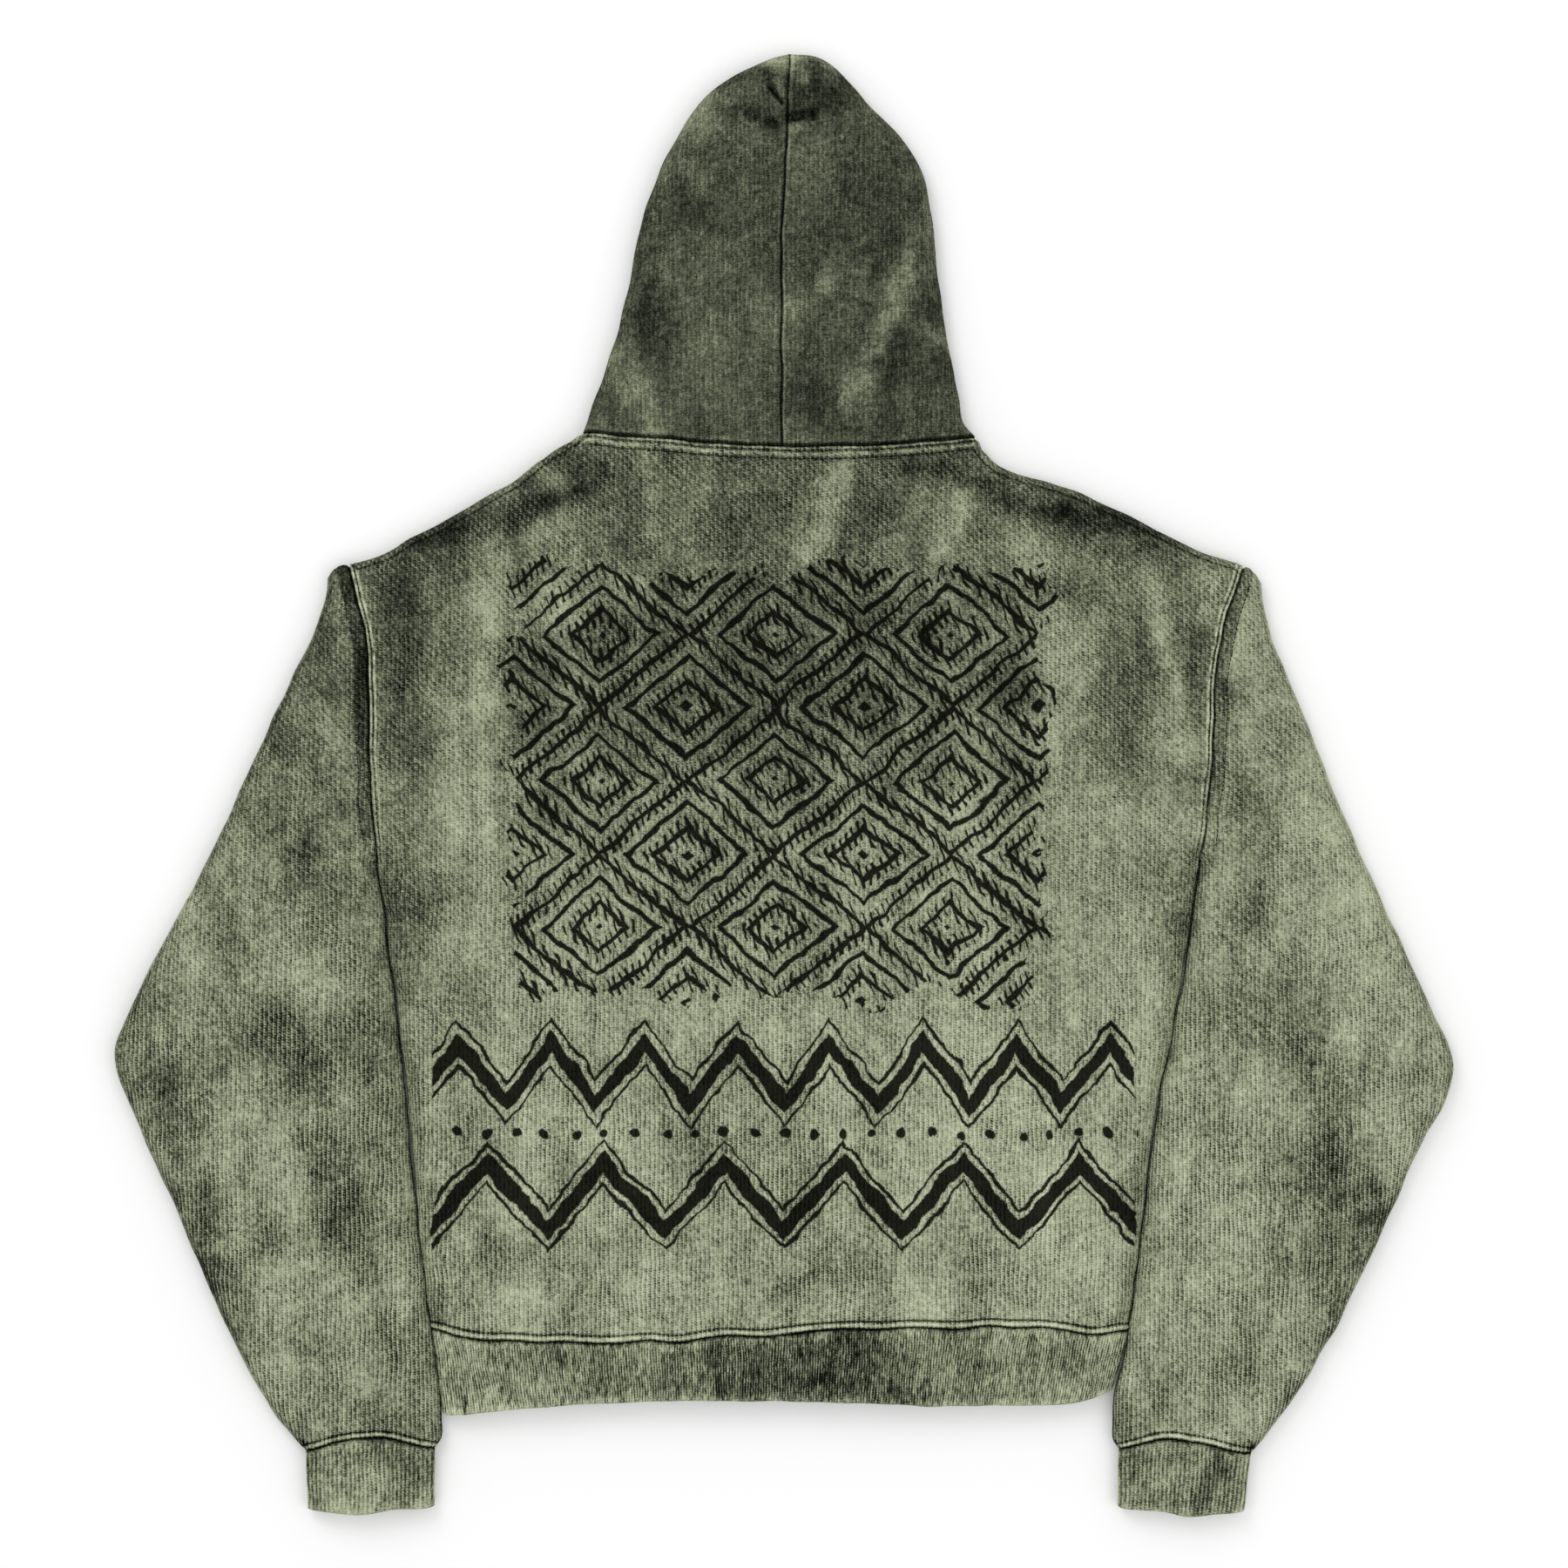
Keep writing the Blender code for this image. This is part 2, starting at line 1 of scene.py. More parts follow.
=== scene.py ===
"""A pullover hooded sweatshirt in heavy washed fleece, laid flat on its front with the hood drawn up.

The file follows the garment as it is put together: back, front, pouch pocket, sleeves, hood, hem band and
cuffs, then the floor, the light and the camera. X runs to the right across the back, Y towards the hood,
Z up. Lengths are millimetres, scaled to metres where a mesh is made.
"""

import bpy
import numpy as np
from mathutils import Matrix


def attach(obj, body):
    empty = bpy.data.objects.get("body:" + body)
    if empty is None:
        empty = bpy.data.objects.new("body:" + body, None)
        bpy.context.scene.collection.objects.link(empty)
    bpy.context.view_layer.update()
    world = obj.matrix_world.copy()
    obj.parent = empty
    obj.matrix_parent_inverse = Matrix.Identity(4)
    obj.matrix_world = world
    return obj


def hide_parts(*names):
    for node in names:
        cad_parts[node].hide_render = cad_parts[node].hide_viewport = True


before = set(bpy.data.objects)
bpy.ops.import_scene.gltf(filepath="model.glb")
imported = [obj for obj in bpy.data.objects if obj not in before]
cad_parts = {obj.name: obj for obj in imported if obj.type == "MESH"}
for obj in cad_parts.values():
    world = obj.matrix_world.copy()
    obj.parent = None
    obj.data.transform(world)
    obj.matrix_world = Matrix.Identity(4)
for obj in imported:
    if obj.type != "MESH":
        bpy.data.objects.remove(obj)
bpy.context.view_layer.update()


# ------------------------------------------------------------------ back panel
# The back is one wide piece of brushed fleece with dropped shoulders. It was sewn to the hood, the
# sleeves and the hem band while white, then dyed and stone-washed, which left it streaked and clouded.

MM = 0.001
FLEECE = 3.0
SEAM_GAP = 0.4
LAY_GAP = 0.4

FOLD_HEIGHT = 6.5
FOLD_RISE = 7.0
FOLD_REACH = 11.0
HOOD_FOLD_EXTRA = 1.5
LOFT_LENGTH = 55.0
BODY_LOFT = 20.0
HOOD_LOFT = 26.0
HEM_LOFT = 6.0
HEM_Y = -392.0
HOOD_Y = 150.0
BLEND_POWER = 4.0

NECK_LEFT = (-144, 250.5)
NECK_RIGHT = (136, 247.5)
BACK_NECK_LEFT = [(-97, 246), (-41, 240.5), (-1.5, 239)]
BACK_NECK_RIGHT = [(95, 242.5), (52, 239.5), (-1.5, 239)]
SHOULDER_LEFT = (-311, 156.5)
SHOULDER_RIGHT = (327.5, 155)
SLEEVE_TIP_LEFT = (-325, 147.5)
SLEEVE_TIP_RIGHT = (341, 143)
SLOPE_LEFT = [(-294, 161), (-263, 177), (-223, 198), (-188, 220), (-166, 237)]
SLOPE_RIGHT = [(295, 167.5), (246, 191), (199, 212.5), (162, 223), (147, 231)]
ARMPIT_LEFT = (-290, -56)
ARMPIT_RIGHT = (296.5, -56)
ARMHOLE_LEFT = [(-292.5, -19), (-295, 49), (-296, 90), (-302, 124)]
ARMHOLE_RIGHT = [(300.5, -19), (304.5, 24), (307, 80), (316, 124)]
SIDE_LEFT = [(-282, -117), (-272, -199), (-260, -321)]
SIDE_RIGHT = [(285, -135), (269, -214), (254.5, -321)]
HEM_SEAM_LEFT = (-251.5, -390)
HEM_SEAM_RIGHT = (246, -391)
HEM_SEAM = [(-186, -397), (-31, -393), (72, -387), (178, -387)]
HEM_RIPPLE = 1.1
CUFF_SEAM_LEFT = [(-341, -475.5), (-314, -467.5), (-284, -465), (-262, -470.5), (-249.5, -474)]
CUFF_SEAM_RIGHT = [(333, -477), (318, -474.5), (293, -468), (270.5, -466), (252, -470), (239.5, -474)]
SLEEVE_OUT_LEFT = [
    (-327, 134), (-334, 112), (-352, 74), (-422, -75), (-461, -149), (-477.6, -196), (-461, -242),
    (-428, -317), (-396, -391), (-353, -463), (-346.5, -470.5),
]
SLEEVE_OUT_RIGHT = [
    (342, 132), (346, 112), (360.5, 74), (422.5, -75), (456.5, -149), (477.6, -205), (453, -261),
    (419.5, -335), (381.5, -410), (347, -461), (339, -470.5),
]
HOOD_APEX = (4, 521)
HOOD_LEFT = [
    (-131, 285), (-112.5, 347), (-99, 409), (-78, 458.5), (-54, 492), (-37, 504.5), (-20, 512), (-7, 518),
]
HOOD_RIGHT = [
    (127, 258), (125, 275), (117, 310), (110, 359), (104.5, 409), (98, 438), (85, 460), (72, 473),
    (61, 483), (49, 498), (37, 510), (20, 519),
]
NECK_FOOT_LEFT = -130.0
NECK_FOOT_RIGHT = 125.0

FINE_STEP = 0.6
WIDE_STEP = 4.0
FINE_REACH = 9.0
LINE_STEPS = 12
ON_FOLD = 0.028
WELD_SHIFT = 0.0031
KNIT_TOP = 17.0
KNIT_RUN = 0.6
SWAY = 0.45
STREAK_SPREAD = 1.3
STREAK_STRENGTH = 1.25


def smooth_line(points):
    """A smooth line through the points: cubic spans, each end sloping as the mean of its two chords."""
    knots = np.array(points, float)
    lengths = np.linalg.norm(np.diff(knots, axis=0), axis=1)[:, None]
    slopes = np.diff(knots, axis=0) / lengths
    inner = (slopes[:-1] * lengths[1:] + slopes[1:] * lengths[:-1]) / (lengths[1:] + lengths[:-1])
    tangents = np.vstack([slopes[:1], inner, slopes[-1:]])[:, None]
    t = np.linspace(0, 1, LINE_STEPS, endpoint=False)[None, :, None]
    rise = 3 * t**2 - 2 * t**3
    bend = (t**3 - 2 * t**2 + t) * tangents[:-1] + (t**3 - t**2) * tangents[1:]
    spans = (1 - rise) * knots[:-1, None] + rise * knots[1:, None] + bend * lengths[:, None]
    return np.vstack([spans.reshape(-1, 2), knots[-1:]])


def line_lengths(line):
    """The length of the line from its start to each of its points."""
    return np.r_[0, np.cumsum(np.linalg.norm(np.diff(line, axis=0), axis=1))]


def line_shares(line):
    """The share of the line's length at which each of its points lies."""
    steps = line_lengths(line)
    return steps / max(steps[-1], 1e-9)


def along(line, shares):
    """The points at these shares of the line's length."""
    return np.stack([np.interp(shares, line_shares(line), line[:, k]) for k in (0, 1)], axis=-1)


def shifted(line, sideways):
    """The line moved to the left of its own direction."""
    run = np.gradient(line, axis=0)
    run /= np.linalg.norm(run, axis=1)[:, None]
    return line + sideways * np.stack([-run[:, 1], run[:, 0]], axis=1)


def patch(foot, head, left, right, u):
    """A four-sided piece in plan: rows blended + columns blended - corners blended (Coons).

    left and right hold a point for each row, u each row's shares across.
    """
    v = ((line_shares(left) + line_shares(right)) / 2)[:, None, None]
    along_rows = (1 - v) * along(foot, u) + v * along(head, u)
    u = u[..., None]
    across_rows = (1 - u) * left[:, None] + u * right[:, None]
    corners = (1 - v) * ((1 - u) * foot[0] + u * foot[-1]) + v * ((1 - u) * head[0] + u * head[-1])
    return along_rows + across_rows - corners


def spaced(length, first=True, last=True):
    """Shares from 0 to 1 in steps that are fine at a sewn or folded end and widen away from it.

    Steps per millimetre = 1/WIDE_STEP + (1/FINE_STEP - 1/WIDE_STEP) exp(-s / FINE_REACH), s from that end.
    """
    s = np.linspace(0, length, 4000)
    near = first * np.exp(-s / FINE_REACH) + last * np.exp(-(length - s) / FINE_REACH)
    density = 1 / WIDE_STEP + (1 / FINE_STEP - 1 / WIDE_STEP) * near
    steps = np.r_[0, np.cumsum((density[1:] + density[:-1]) / 2 * np.diff(s))]
    return np.interp(np.linspace(0, steps[-1], round(steps[-1]) + 1), steps, s) / length


def distance_to(points, *lines):
    """Shortest distance in plan from each point to the nearest of the lines."""
    apart = []
    for line in lines:
        start, run = line[:-1], np.diff(line, axis=0)
        x = points[..., 0:1] - start[:, 0]
        y = points[..., 1:2] - start[:, 1]
        share = np.clip((x * run[:, 0] + y * run[:, 1]) / (run**2).sum(1), 0, 1)
        apart.append(np.sqrt(((x - share * run[:, 0]) ** 2 + (y - share * run[:, 1]) ** 2).min(-1)))
    return np.min(apart, axis=0)


def fold_distance(points, folds):
    """One smooth distance to several folds: (sum of distance^-4)^(-1/4), and 0 on a fold."""
    apart = np.maximum([distance_to(points, fold) for fold in folds], 1e-3)
    apart = (apart**-BLEND_POWER).sum(0) ** (-1 / BLEND_POWER)
    return np.where(apart < ON_FOLD, 0.0, apart)


def ease(value):
    """0 below 0, 1 above 1, and the smooth S 3t^2 - 2t^3 between."""
    share = np.clip(value, 0, 1)
    return share * share * (3 - 2 * share)


def hill(value, middle, spread):
    """A bell: exp(-((value - middle) / spread)^2)."""
    return np.exp(-(((value - middle) / spread) ** 2))


def quarter_round(apart, reach):
    """0 at an edge and 1 from this reach on, round between: sqrt(1 - (1 - d / reach)^2)."""
    return np.sqrt(1 - np.clip(1 - apart / reach, 0, 1) ** 2)


def waves(points, size, seed):
    """An uneven field near -1 to 1: sixteen sine waves about this size long, in seeded directions."""
    rng = np.random.default_rng(seed)
    turn, phase = rng.uniform(0, 2 * np.pi, (2, 16))
    pace = 2 * np.pi / (size * rng.uniform(0.75, 1.6, 16))
    x, y = points[..., 0:1], points[..., 1:2]
    return np.sin(x * pace * np.cos(turn) + y * pace * np.sin(turn) + phase).sum(-1) / 4


def streaks(points, marks, wander=1.0):
    """Soft strokes: strength * exp(-(distance to the stroke / half width)^2), wandering and uneven.

    A mark is (places along the stroke, half width, strength). The last two are scaled by STREAK_SPREAD and
    STREAK_STRENGTH. Where strokes cross, the strongest pale one and the strongest dark one count.
    """
    slow, quick = (np.stack([waves(points, size, 3), waves(points, size, 4)], axis=-1) for size in (46, 12))
    moved = points + wander * (3.5 * slow + 1.2 * quick)
    pale = dark = np.zeros(points.shape[:-1])
    for *stroke, half_width, strength in marks:
        line = np.array(stroke, float).reshape(-1, 2)
        mark = strength * hill(distance_to(moved, line), 0, STREAK_SPREAD * half_width)
        pale, dark = np.maximum(pale, mark), np.minimum(dark, mark)
    return STREAK_STRENGTH * (pale + dark) * (1 + 0.25 * waves(points, 19, 7))


def swayed(points):
    """The plan with the slow sideways wander of the cut cloth added."""
    return points + SWAY * np.stack([waves(points, 34, 11), waves(points, 34, 12)], axis=-1)


def laid(points, folds, loft, upper, closure=0.0):
    """Height of a layer over the floor: a quarter round at its folds, then a slow rise to its loft.

    z = fold + FOLD_RISE * s + loft * (1 - exp(-d / LOFT_LENGTH)) * s, where d is the distance to the folds
    and s its quarter round. The under layer falls from the fold to the floor by 1 - s.
    """
    apart = fold_distance(points, folds)
    steep = quarter_round(apart, FOLD_REACH)
    fold = FOLD_HEIGHT + HOOD_FOLD_EXTRA * ease((points[..., 1] - 180) / 90)
    if upper:
        return fold + closure + FOLD_RISE * steep + loft * (1 - np.exp(-apart / LOFT_LENGTH)) * steep
    return (fold - closure) * (1 - steep) + loft * steep


def body_loft(points):
    """How high the back stands over its folds: low at the hem band, highest where the hood begins."""
    y = points[..., 1]
    waist = HEM_LOFT + (BODY_LOFT - HEM_LOFT) * ease((y - HEM_Y) / 100)
    return waist + (HOOD_LOFT - BODY_LOFT) * ease((y - HOOD_Y) / 150)


def grid_faces(rows, columns, start, counter_clockwise):
    """Four corners of each cell of a grid of vertices."""
    index = start + np.arange(rows * columns).reshape(rows, columns)
    cells = np.stack([index[:-1, :-1], index[:-1, 1:], index[1:, 1:], index[1:, :-1]], axis=-1)
    cells = cells.reshape(-1, 4)
    return cells if counter_clockwise else cells[:, ::-1]


def welded(points, faces, places):
    """Vertices merged where they agree to so many places: their numbers, the four- and three-sided faces.

    WELD_SHIFT keeps places that fall on round numbers away from the edge of rounding.
    """
    merged = np.unique(np.round(points + WELD_SHIFT, places), axis=0, return_index=True, return_inverse=True)
    faces = merged[2].reshape(-1)[faces]
    pinched = faces == np.roll(faces, -1, axis=1)
    count = pinched.sum(1)
    whole, corner = faces[count == 0], faces[count == 1]
    return merged[1], whole, corner[~pinched[count == 1]].reshape(-1, 3)


def facing(points, whole, corner):
    """Unit normals at the vertices: the mean of the faces around each, weighted by their areas."""
    total = np.zeros_like(points)
    for faces, ends in ((whole, (2, 0, 3, 1)), (corner, (1, 0, 2, 0))):
        a, b, c, d = (points[faces[:, k]] for k in ends)
        normal = np.cross(a - b, c - d)
        for k in range(faces.shape[1]):
            np.add.at(total, faces[:, k], normal)
    return total / (np.linalg.norm(total, axis=1)[:, None] + 1e-12)


def new_piece(name, points, faces, values, material):
    """An object at the origin whose mesh holds these vertices in metres, and the dye and knit values."""
    mesh = bpy.data.meshes.new(name)
    mesh.from_pydata((points * MM).tolist(), [], faces)
    for label, kind, field in (("dye_and_painted_light", "FLOAT", "value"), ("knit", "FLOAT_VECTOR", "vector")):
        layer = mesh.attributes.new(label, kind, "POINT")
        layer.data.foreach_set(field, values[label].astype(np.float32).ravel())
    mesh.materials.append(material)
    mesh.shade_smooth()
    mesh.set_sharp_from_angle(angle=np.radians(60))
    piece = bpy.data.objects.new(name, mesh)
    bpy.context.scene.collection.objects.link(piece)
    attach(piece, "root")
    return piece


def sewn_cloth(name, node, layers, material):
    """A closed piece of cloth from grids of its outer surface, in the place of a plain node.

    outer skin = base + relief * normal, inner skin = base - thickness * normal, and rims join the two
    round every open edge. A layer is (plan, height, relief, thickness, dye, whether its face looks up).
    The knit is read at plan + KNIT_RUN * (KNIT_TOP - z) * normal, so that it runs on round the folds.
    """
    start, cells = 0, []
    for plan, *_, up in layers:
        cells.append(grid_faces(*plan.shape[:2], start, up))
        start += plan[..., 0].size
    height, relief, thickness, dye_and_painted_light = (
        np.concatenate([np.broadcast_to(layer[k], layer[0].shape[:2]).ravel() for layer in layers])
        for k in range(1, 5)
    )
    base = np.column_stack([np.vstack([layer[0].reshape(-1, 2) for layer in layers]), height])
    first, whole, corner = welded(base, np.vstack(cells), 2)
    base, relief, thickness, dye_and_painted_light = base[first], relief[first, None], thickness[first, None], dye_and_painted_light[first]
    normal = facing(base, whole, corner)
    count = len(base)
    outside = np.vstack([whole, np.hstack([corner, corner[:, -1:]])])
    a = np.concatenate([whole.ravel(), corner.ravel()])
    b = np.concatenate([np.roll(faces, -1, axis=1).ravel() for faces in (whole, corner)])
    open_edge = np.isin(a * count + b, b * count + a, invert=True)
    a, b = a[open_edge], b[open_edge]
    rims = np.stack([b, a, a + count, b + count], axis=1)
    knit = base[:, :2] + normal[:, :2] * KNIT_RUN * np.maximum(0, KNIT_TOP - base[:, 2:3])
    place = np.hstack([swayed(base[:, :2]), base[:, 2:]])
    skins = np.vstack([place + relief * normal, place - thickness * normal])
    faces = np.vstack([outside, outside[:, ::-1] + count, rims])
    first, whole, corner = welded(skins, faces, 3)
    values = {"dye_and_painted_light": np.tile(dye_and_painted_light, 2)[first], "knit": np.tile(np.pad(knit, ((0, 0), (0, 1))), (2, 1))[first]}
    piece = new_piece(name, skins[first], whole.tolist() + corner.tolist(), values, material)
    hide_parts(node)
    return piece


def grown(tree, kind, inputs={}, **settings):
    """A new shader node with these settings and these inputs: fields and sockets are linked to it."""
    node = tree.nodes.new(kind)
    for key, value in settings.items():
        setattr(node, key, value)
    plugged(tree, node, inputs)
    return node


def plugged(tree, node, inputs):
    """Links a node's inputs to the fields and sockets given for them, and sets those given as numbers."""
    for key, value in inputs.items():
        value = getattr(value, "socket", value)
        if isinstance(value, bpy.types.NodeSocket):
            tree.links.new(value, node.inputs[key])
        else:
            node.inputs[key].default_value = value


class Field:
    """A value that varies over the cloth, carried by a shader socket. Signs between fields make nodes."""

    def __init__(self, tree, socket):
        """Keeps the node tree and the socket that carries the value."""
        self.tree = tree
        self.socket = socket

    def by(self, operation, *others):
        """One Math node of this operation over the field and the others, which are fields or numbers."""
        inputs = dict(enumerate((self, *others)))
        return Field(self.tree, grown(self.tree, "ShaderNodeMath", inputs, operation=operation).outputs[0])

    def __add__(self, other):
        """This + other."""
        return self.by("ADD", other)

    def __sub__(self, other):
        """This - other."""
        return self.by("SUBTRACT", other)

    def __mul__(self, other):
        """This * other."""
        return self.by("MULTIPLY", other)

    def within(self, low, high):
        """This, kept between two numbers."""
        return self.by("MAXIMUM", low).by("MINIMUM", high)


def axes(tree, place):
    """The X and the Y of a place as fields."""
    parts = grown(tree, "ShaderNodeSeparateXYZ", {0: place})
    return Field(tree, parts.outputs["X"]), Field(tree, parts.outputs["Y"])


def stretched(tree, place, x_scale, y_scale):
    """The place scaled along X and Y: clouds read from it grow longer where the scale is small."""
    scale = (x_scale, y_scale, 1)
    return grown(tree, "ShaderNodeVectorMath", {0: place, 1: scale}, operation="MULTIPLY").outputs[0]


def clouds(tree, place, size, detail, seed, roughness=0.6):
    """Even noise, mostly within -0.5 to 0.5, whose largest clouds are this many millimetres across."""
    noise = grown(tree, "ShaderNodeTexNoise", noise_dimensions="4D", inputs={
        "Vector": place, "Scale": 1 / (size * MM), "Detail": detail, "Roughness": roughness, "W": seed})
    return Field(tree, noise.outputs["Fac"]) * 2 - 1


CLOTH_ROUGHNESS = 0.95
WASH_START = 0.15
WASH_RISE = -3.3
DYE_RAMP = [
    (0.08, (12, 13, 10)), (0.24, (47, 50, 40)), (0.38, (88, 93, 76)), (0.5, (129, 135, 110)),
    (0.6, (156, 162, 134)), (0.76, (182, 188, 158)), (1, (214, 219, 192)),
]
FLEECE_KNIT = [
    (0.36, 1.947, 0, 0, 0.35), (0.2, 3.894, 0, 1.1, 0.2), (0.36, 1.137, 1.162, 0, -0.2),
    (0.28, 0.333, -3.343, 0, 0), (0.28, 1.571, 3.33, 0, 0),
]


def linear(colour):
    """Display colour 0-255 to the light it stands for: ((c + 0.055) / 1.055)^2.4."""
    share = np.array(colour) / 255
    return (*np.where(share < 0.04, share / 12.92, ((share + 0.055) / 1.055) ** 2.4).tolist(), 1.0)


def washed_cloth(name, knit_waves, contrast, grain, cloud, relief, drag=(1.0, 1.0), ink=None):
    """Dyed knit: the dye value plus clouds, flecks and the knit's own light and dark picks a colour.

    The knit is the sum of (weight + gain * share) * cos(knit . (x wave, y wave) + lead), where the share
    WASH_START + WASH_RISE * y grows from 0 at the chest to 1 at the hem: columns with one sharp edge, the
    twill across them and the single loops. Ink, where given, covers the colour.
    """
    material = bpy.data.materials.new(name)
    material.use_nodes = True
    tree = material.node_tree
    place = grown(tree, "ShaderNodeTexCoord").outputs["Object"]
    # The per-vertex value read here holds the dye together with painted shade and highlight: at the folds,
    # beside the sleeve seams, under the shoulders and at the hood's crown and rim.
    dye_and_painted_light = Field(tree, grown(tree, "ShaderNodeAttribute", attribute_name="dye_and_painted_light").outputs["Fac"])
    knit = grown(tree, "ShaderNodeAttribute", attribute_name="knit").outputs["Vector"]
    share = (axes(tree, place)[1] * WASH_RISE + WASH_START).within(0, 1)
    drift = clouds(tree, place, 26, 2, 5) + clouds(tree, place, 6, 2, 6) * (share * -1.5 + 3)
    knitted = drift * 0
    for weight, x_wave, y_wave, lead, gain in knit_waves:
        turn = grown(tree, "ShaderNodeVectorMath", {0: knit, 1: (x_wave, y_wave, 0)}, operation="DOT_PRODUCT")
        wave = (Field(tree, turn.outputs["Value"]) + drift + lead).by("COSINE")
        knitted = knitted + wave * (share * gain + weight)
    knitted = knitted * (clouds(tree, place, 14, 4, 8) * 1.8 + 1).by("MAXIMUM", 0.2)
    pulled = stretched(tree, place, *drag)
    speckle = clouds(tree, pulled, 1.5, 3, 2, 0.75) + clouds(tree, pulled, 3.4, 2, 12, 0.7) * 0.75
    drawn = stretched(tree, place, 1, 0.45)
    mottle = clouds(tree, drawn, 46, 4, 1, 0.7) * 0.17 + clouds(tree, drawn, 9, 4, 3, 0.7) * 0.15
    fine = (speckle * grain + knitted * contrast) * (share * 0.22 + 0.84)
    level = dye_and_painted_light + mottle * cloud * (share * 0.4 + 0.7) + fine
    ramp = grown(tree, "ShaderNodeValToRGB", {0: level})
    while len(ramp.color_ramp.elements) < len(DYE_RAMP):
        ramp.color_ramp.elements.new(0.5)
    for element, (position, colour) in zip(ramp.color_ramp.elements, DYE_RAMP):
        element.position = position
        element.color = linear(colour)
    colour, roughness = ramp.outputs["Color"], CLOTH_ROUGHNESS
    if ink:
        cover = ink(tree, place, knitted + speckle * 2)
        over = {"Factor": cover, "A": colour, "B": linear(INK)}
        colour = grown(tree, "ShaderNodeMix", over, data_type="RGBA").outputs["Result"]
        roughness = cover * -0.15 + CLOTH_ROUGHNESS
    bump = grown(tree, "ShaderNodeBump", {
        "Strength": 0.8, "Distance": relief * MM, "Height": knitted + speckle * 0.6})
    plugged(tree, tree.nodes["Principled BSDF"], {
        "Base Color": colour, "Roughness": roughness, "Specular IOR Level": 0.02,
        "Normal": bump.outputs["Normal"]})
    return material


left_side = smooth_line([HEM_SEAM_LEFT, *SIDE_LEFT[::-1], ARMPIT_LEFT])
right_side = smooth_line([HEM_SEAM_RIGHT, *SIDE_RIGHT[::-1], ARMPIT_RIGHT])
left_armhole = smooth_line([ARMPIT_LEFT, *ARMHOLE_LEFT, SHOULDER_LEFT])
right_armhole = smooth_line([ARMPIT_RIGHT, *ARMHOLE_RIGHT, SHOULDER_RIGHT])
left_slope = smooth_line([SHOULDER_LEFT, *SLOPE_LEFT, NECK_LEFT])
right_slope = smooth_line([SHOULDER_RIGHT, *SLOPE_RIGHT, NECK_RIGHT])
hem_seam = smooth_line([HEM_SEAM_LEFT, *HEM_SEAM, HEM_SEAM_RIGHT])
hem_seam[:, 1] += HEM_RIPPLE * waves(hem_seam * [1, 0], 62, 15)
left_sleeve_out = smooth_line([CUFF_SEAM_LEFT[0], *SLEEVE_OUT_LEFT[::-1], SLEEVE_TIP_LEFT])
right_sleeve_out = smooth_line([CUFF_SEAM_RIGHT[0], *SLEEVE_OUT_RIGHT[::-1], SLEEVE_TIP_RIGHT])
left_hood = smooth_line([NECK_LEFT, *HOOD_LEFT, HOOD_APEX])
right_hood = smooth_line([NECK_RIGHT, *HOOD_RIGHT, HOOD_APEX])
left_edge = shifted(left_side, -LAY_GAP / 2)
right_edge = shifted(right_side, LAY_GAP / 2)
body_folds = [
    left_edge, right_edge, left_slope, right_slope, left_hood, right_hood, left_sleeve_out, right_sleeve_out,
]


def neck_lines(left_points, right_points):
    """A neck seam from each shoulder corner to the middle, and from corner to corner."""
    left = along(smooth_line([NECK_LEFT, *left_points]), spaced(150, last=False))
    right = along(smooth_line([NECK_RIGHT, *right_points]), spaced(150, last=False))
    return left, right, np.vstack([left, right[-2::-1]])


left_back_neck, right_back_neck, back_neck = neck_lines(BACK_NECK_LEFT, BACK_NECK_RIGHT)


def body_plan(neck_line):
    """A body panel in plan: level rows up to the armpits, then rows fanned out to the shoulders.

    Each level row keeps a fold's width at both sides and spreads the rest as at the armpits.
    """
    shoulder = spaced(160, last=False)[:-1]
    neck = line_shares(left_back_neck)
    middle = left_back_neck[-1, 0]
    low, high = left_edge[-1, 0], right_edge[-1, 0]
    armpit_x = np.r_[
        low + (NECK_FOOT_LEFT - low) * shoulder,
        NECK_FOOT_LEFT + (middle - NECK_FOOT_LEFT) * neck,
        (NECK_FOOT_RIGHT + (middle - NECK_FOOT_RIGHT) * neck)[-2::-1],
        (high + (NECK_FOOT_RIGHT - high) * shoulder)[::-1],
    ]
    share = spaced(335, last=False)
    y = HEM_SEAM_LEFT[1] + (ARMPIT_LEFT[1] - HEM_SEAM_LEFT[1]) * share
    x_left, x_right = (np.interp(y, side[:, 1], side[:, 0]) for side in (left_edge, right_edge))
    held = np.array([low, low + FOLD_REACH, NECK_FOOT_LEFT, NECK_FOOT_RIGHT, high - FOLD_REACH, high])
    spread = np.stack([np.interp(armpit_x, held, corner) for corner in np.eye(6)])
    fixed = np.ones_like(y)
    moving = [x_left, x_left + FOLD_REACH, NECK_FOOT_LEFT * fixed, NECK_FOOT_RIGHT * fixed,
              x_right - FOLD_REACH, x_right]
    x = np.stack(moving, axis=1) @ spread
    dip = np.interp(x[0], hem_seam[:, 0], hem_seam[:, 1]) + SEAM_GAP - HEM_SEAM_LEFT[1]
    lower = np.stack([x, y[:, None] + dip * (1 - share[:, None]) ** 3], axis=-1)
    slopes = [along(slope, shoulder) for slope in (left_slope, right_slope)]
    top = np.vstack([slopes[0], shifted(neck_line, -SEAM_GAP), slopes[1][::-1]])
    v = spaced(250, first=False)
    armholes = along(shifted(left_armhole, -SEAM_GAP), v), along(shifted(right_armhole, SEAM_GAP), v)
    u = (1 - v[:, None]) * line_shares(lower[-1]) + v[:, None] * line_shares(top)
    return np.vstack([lower, patch(lower[-1], top, *armholes, u)[1:]])


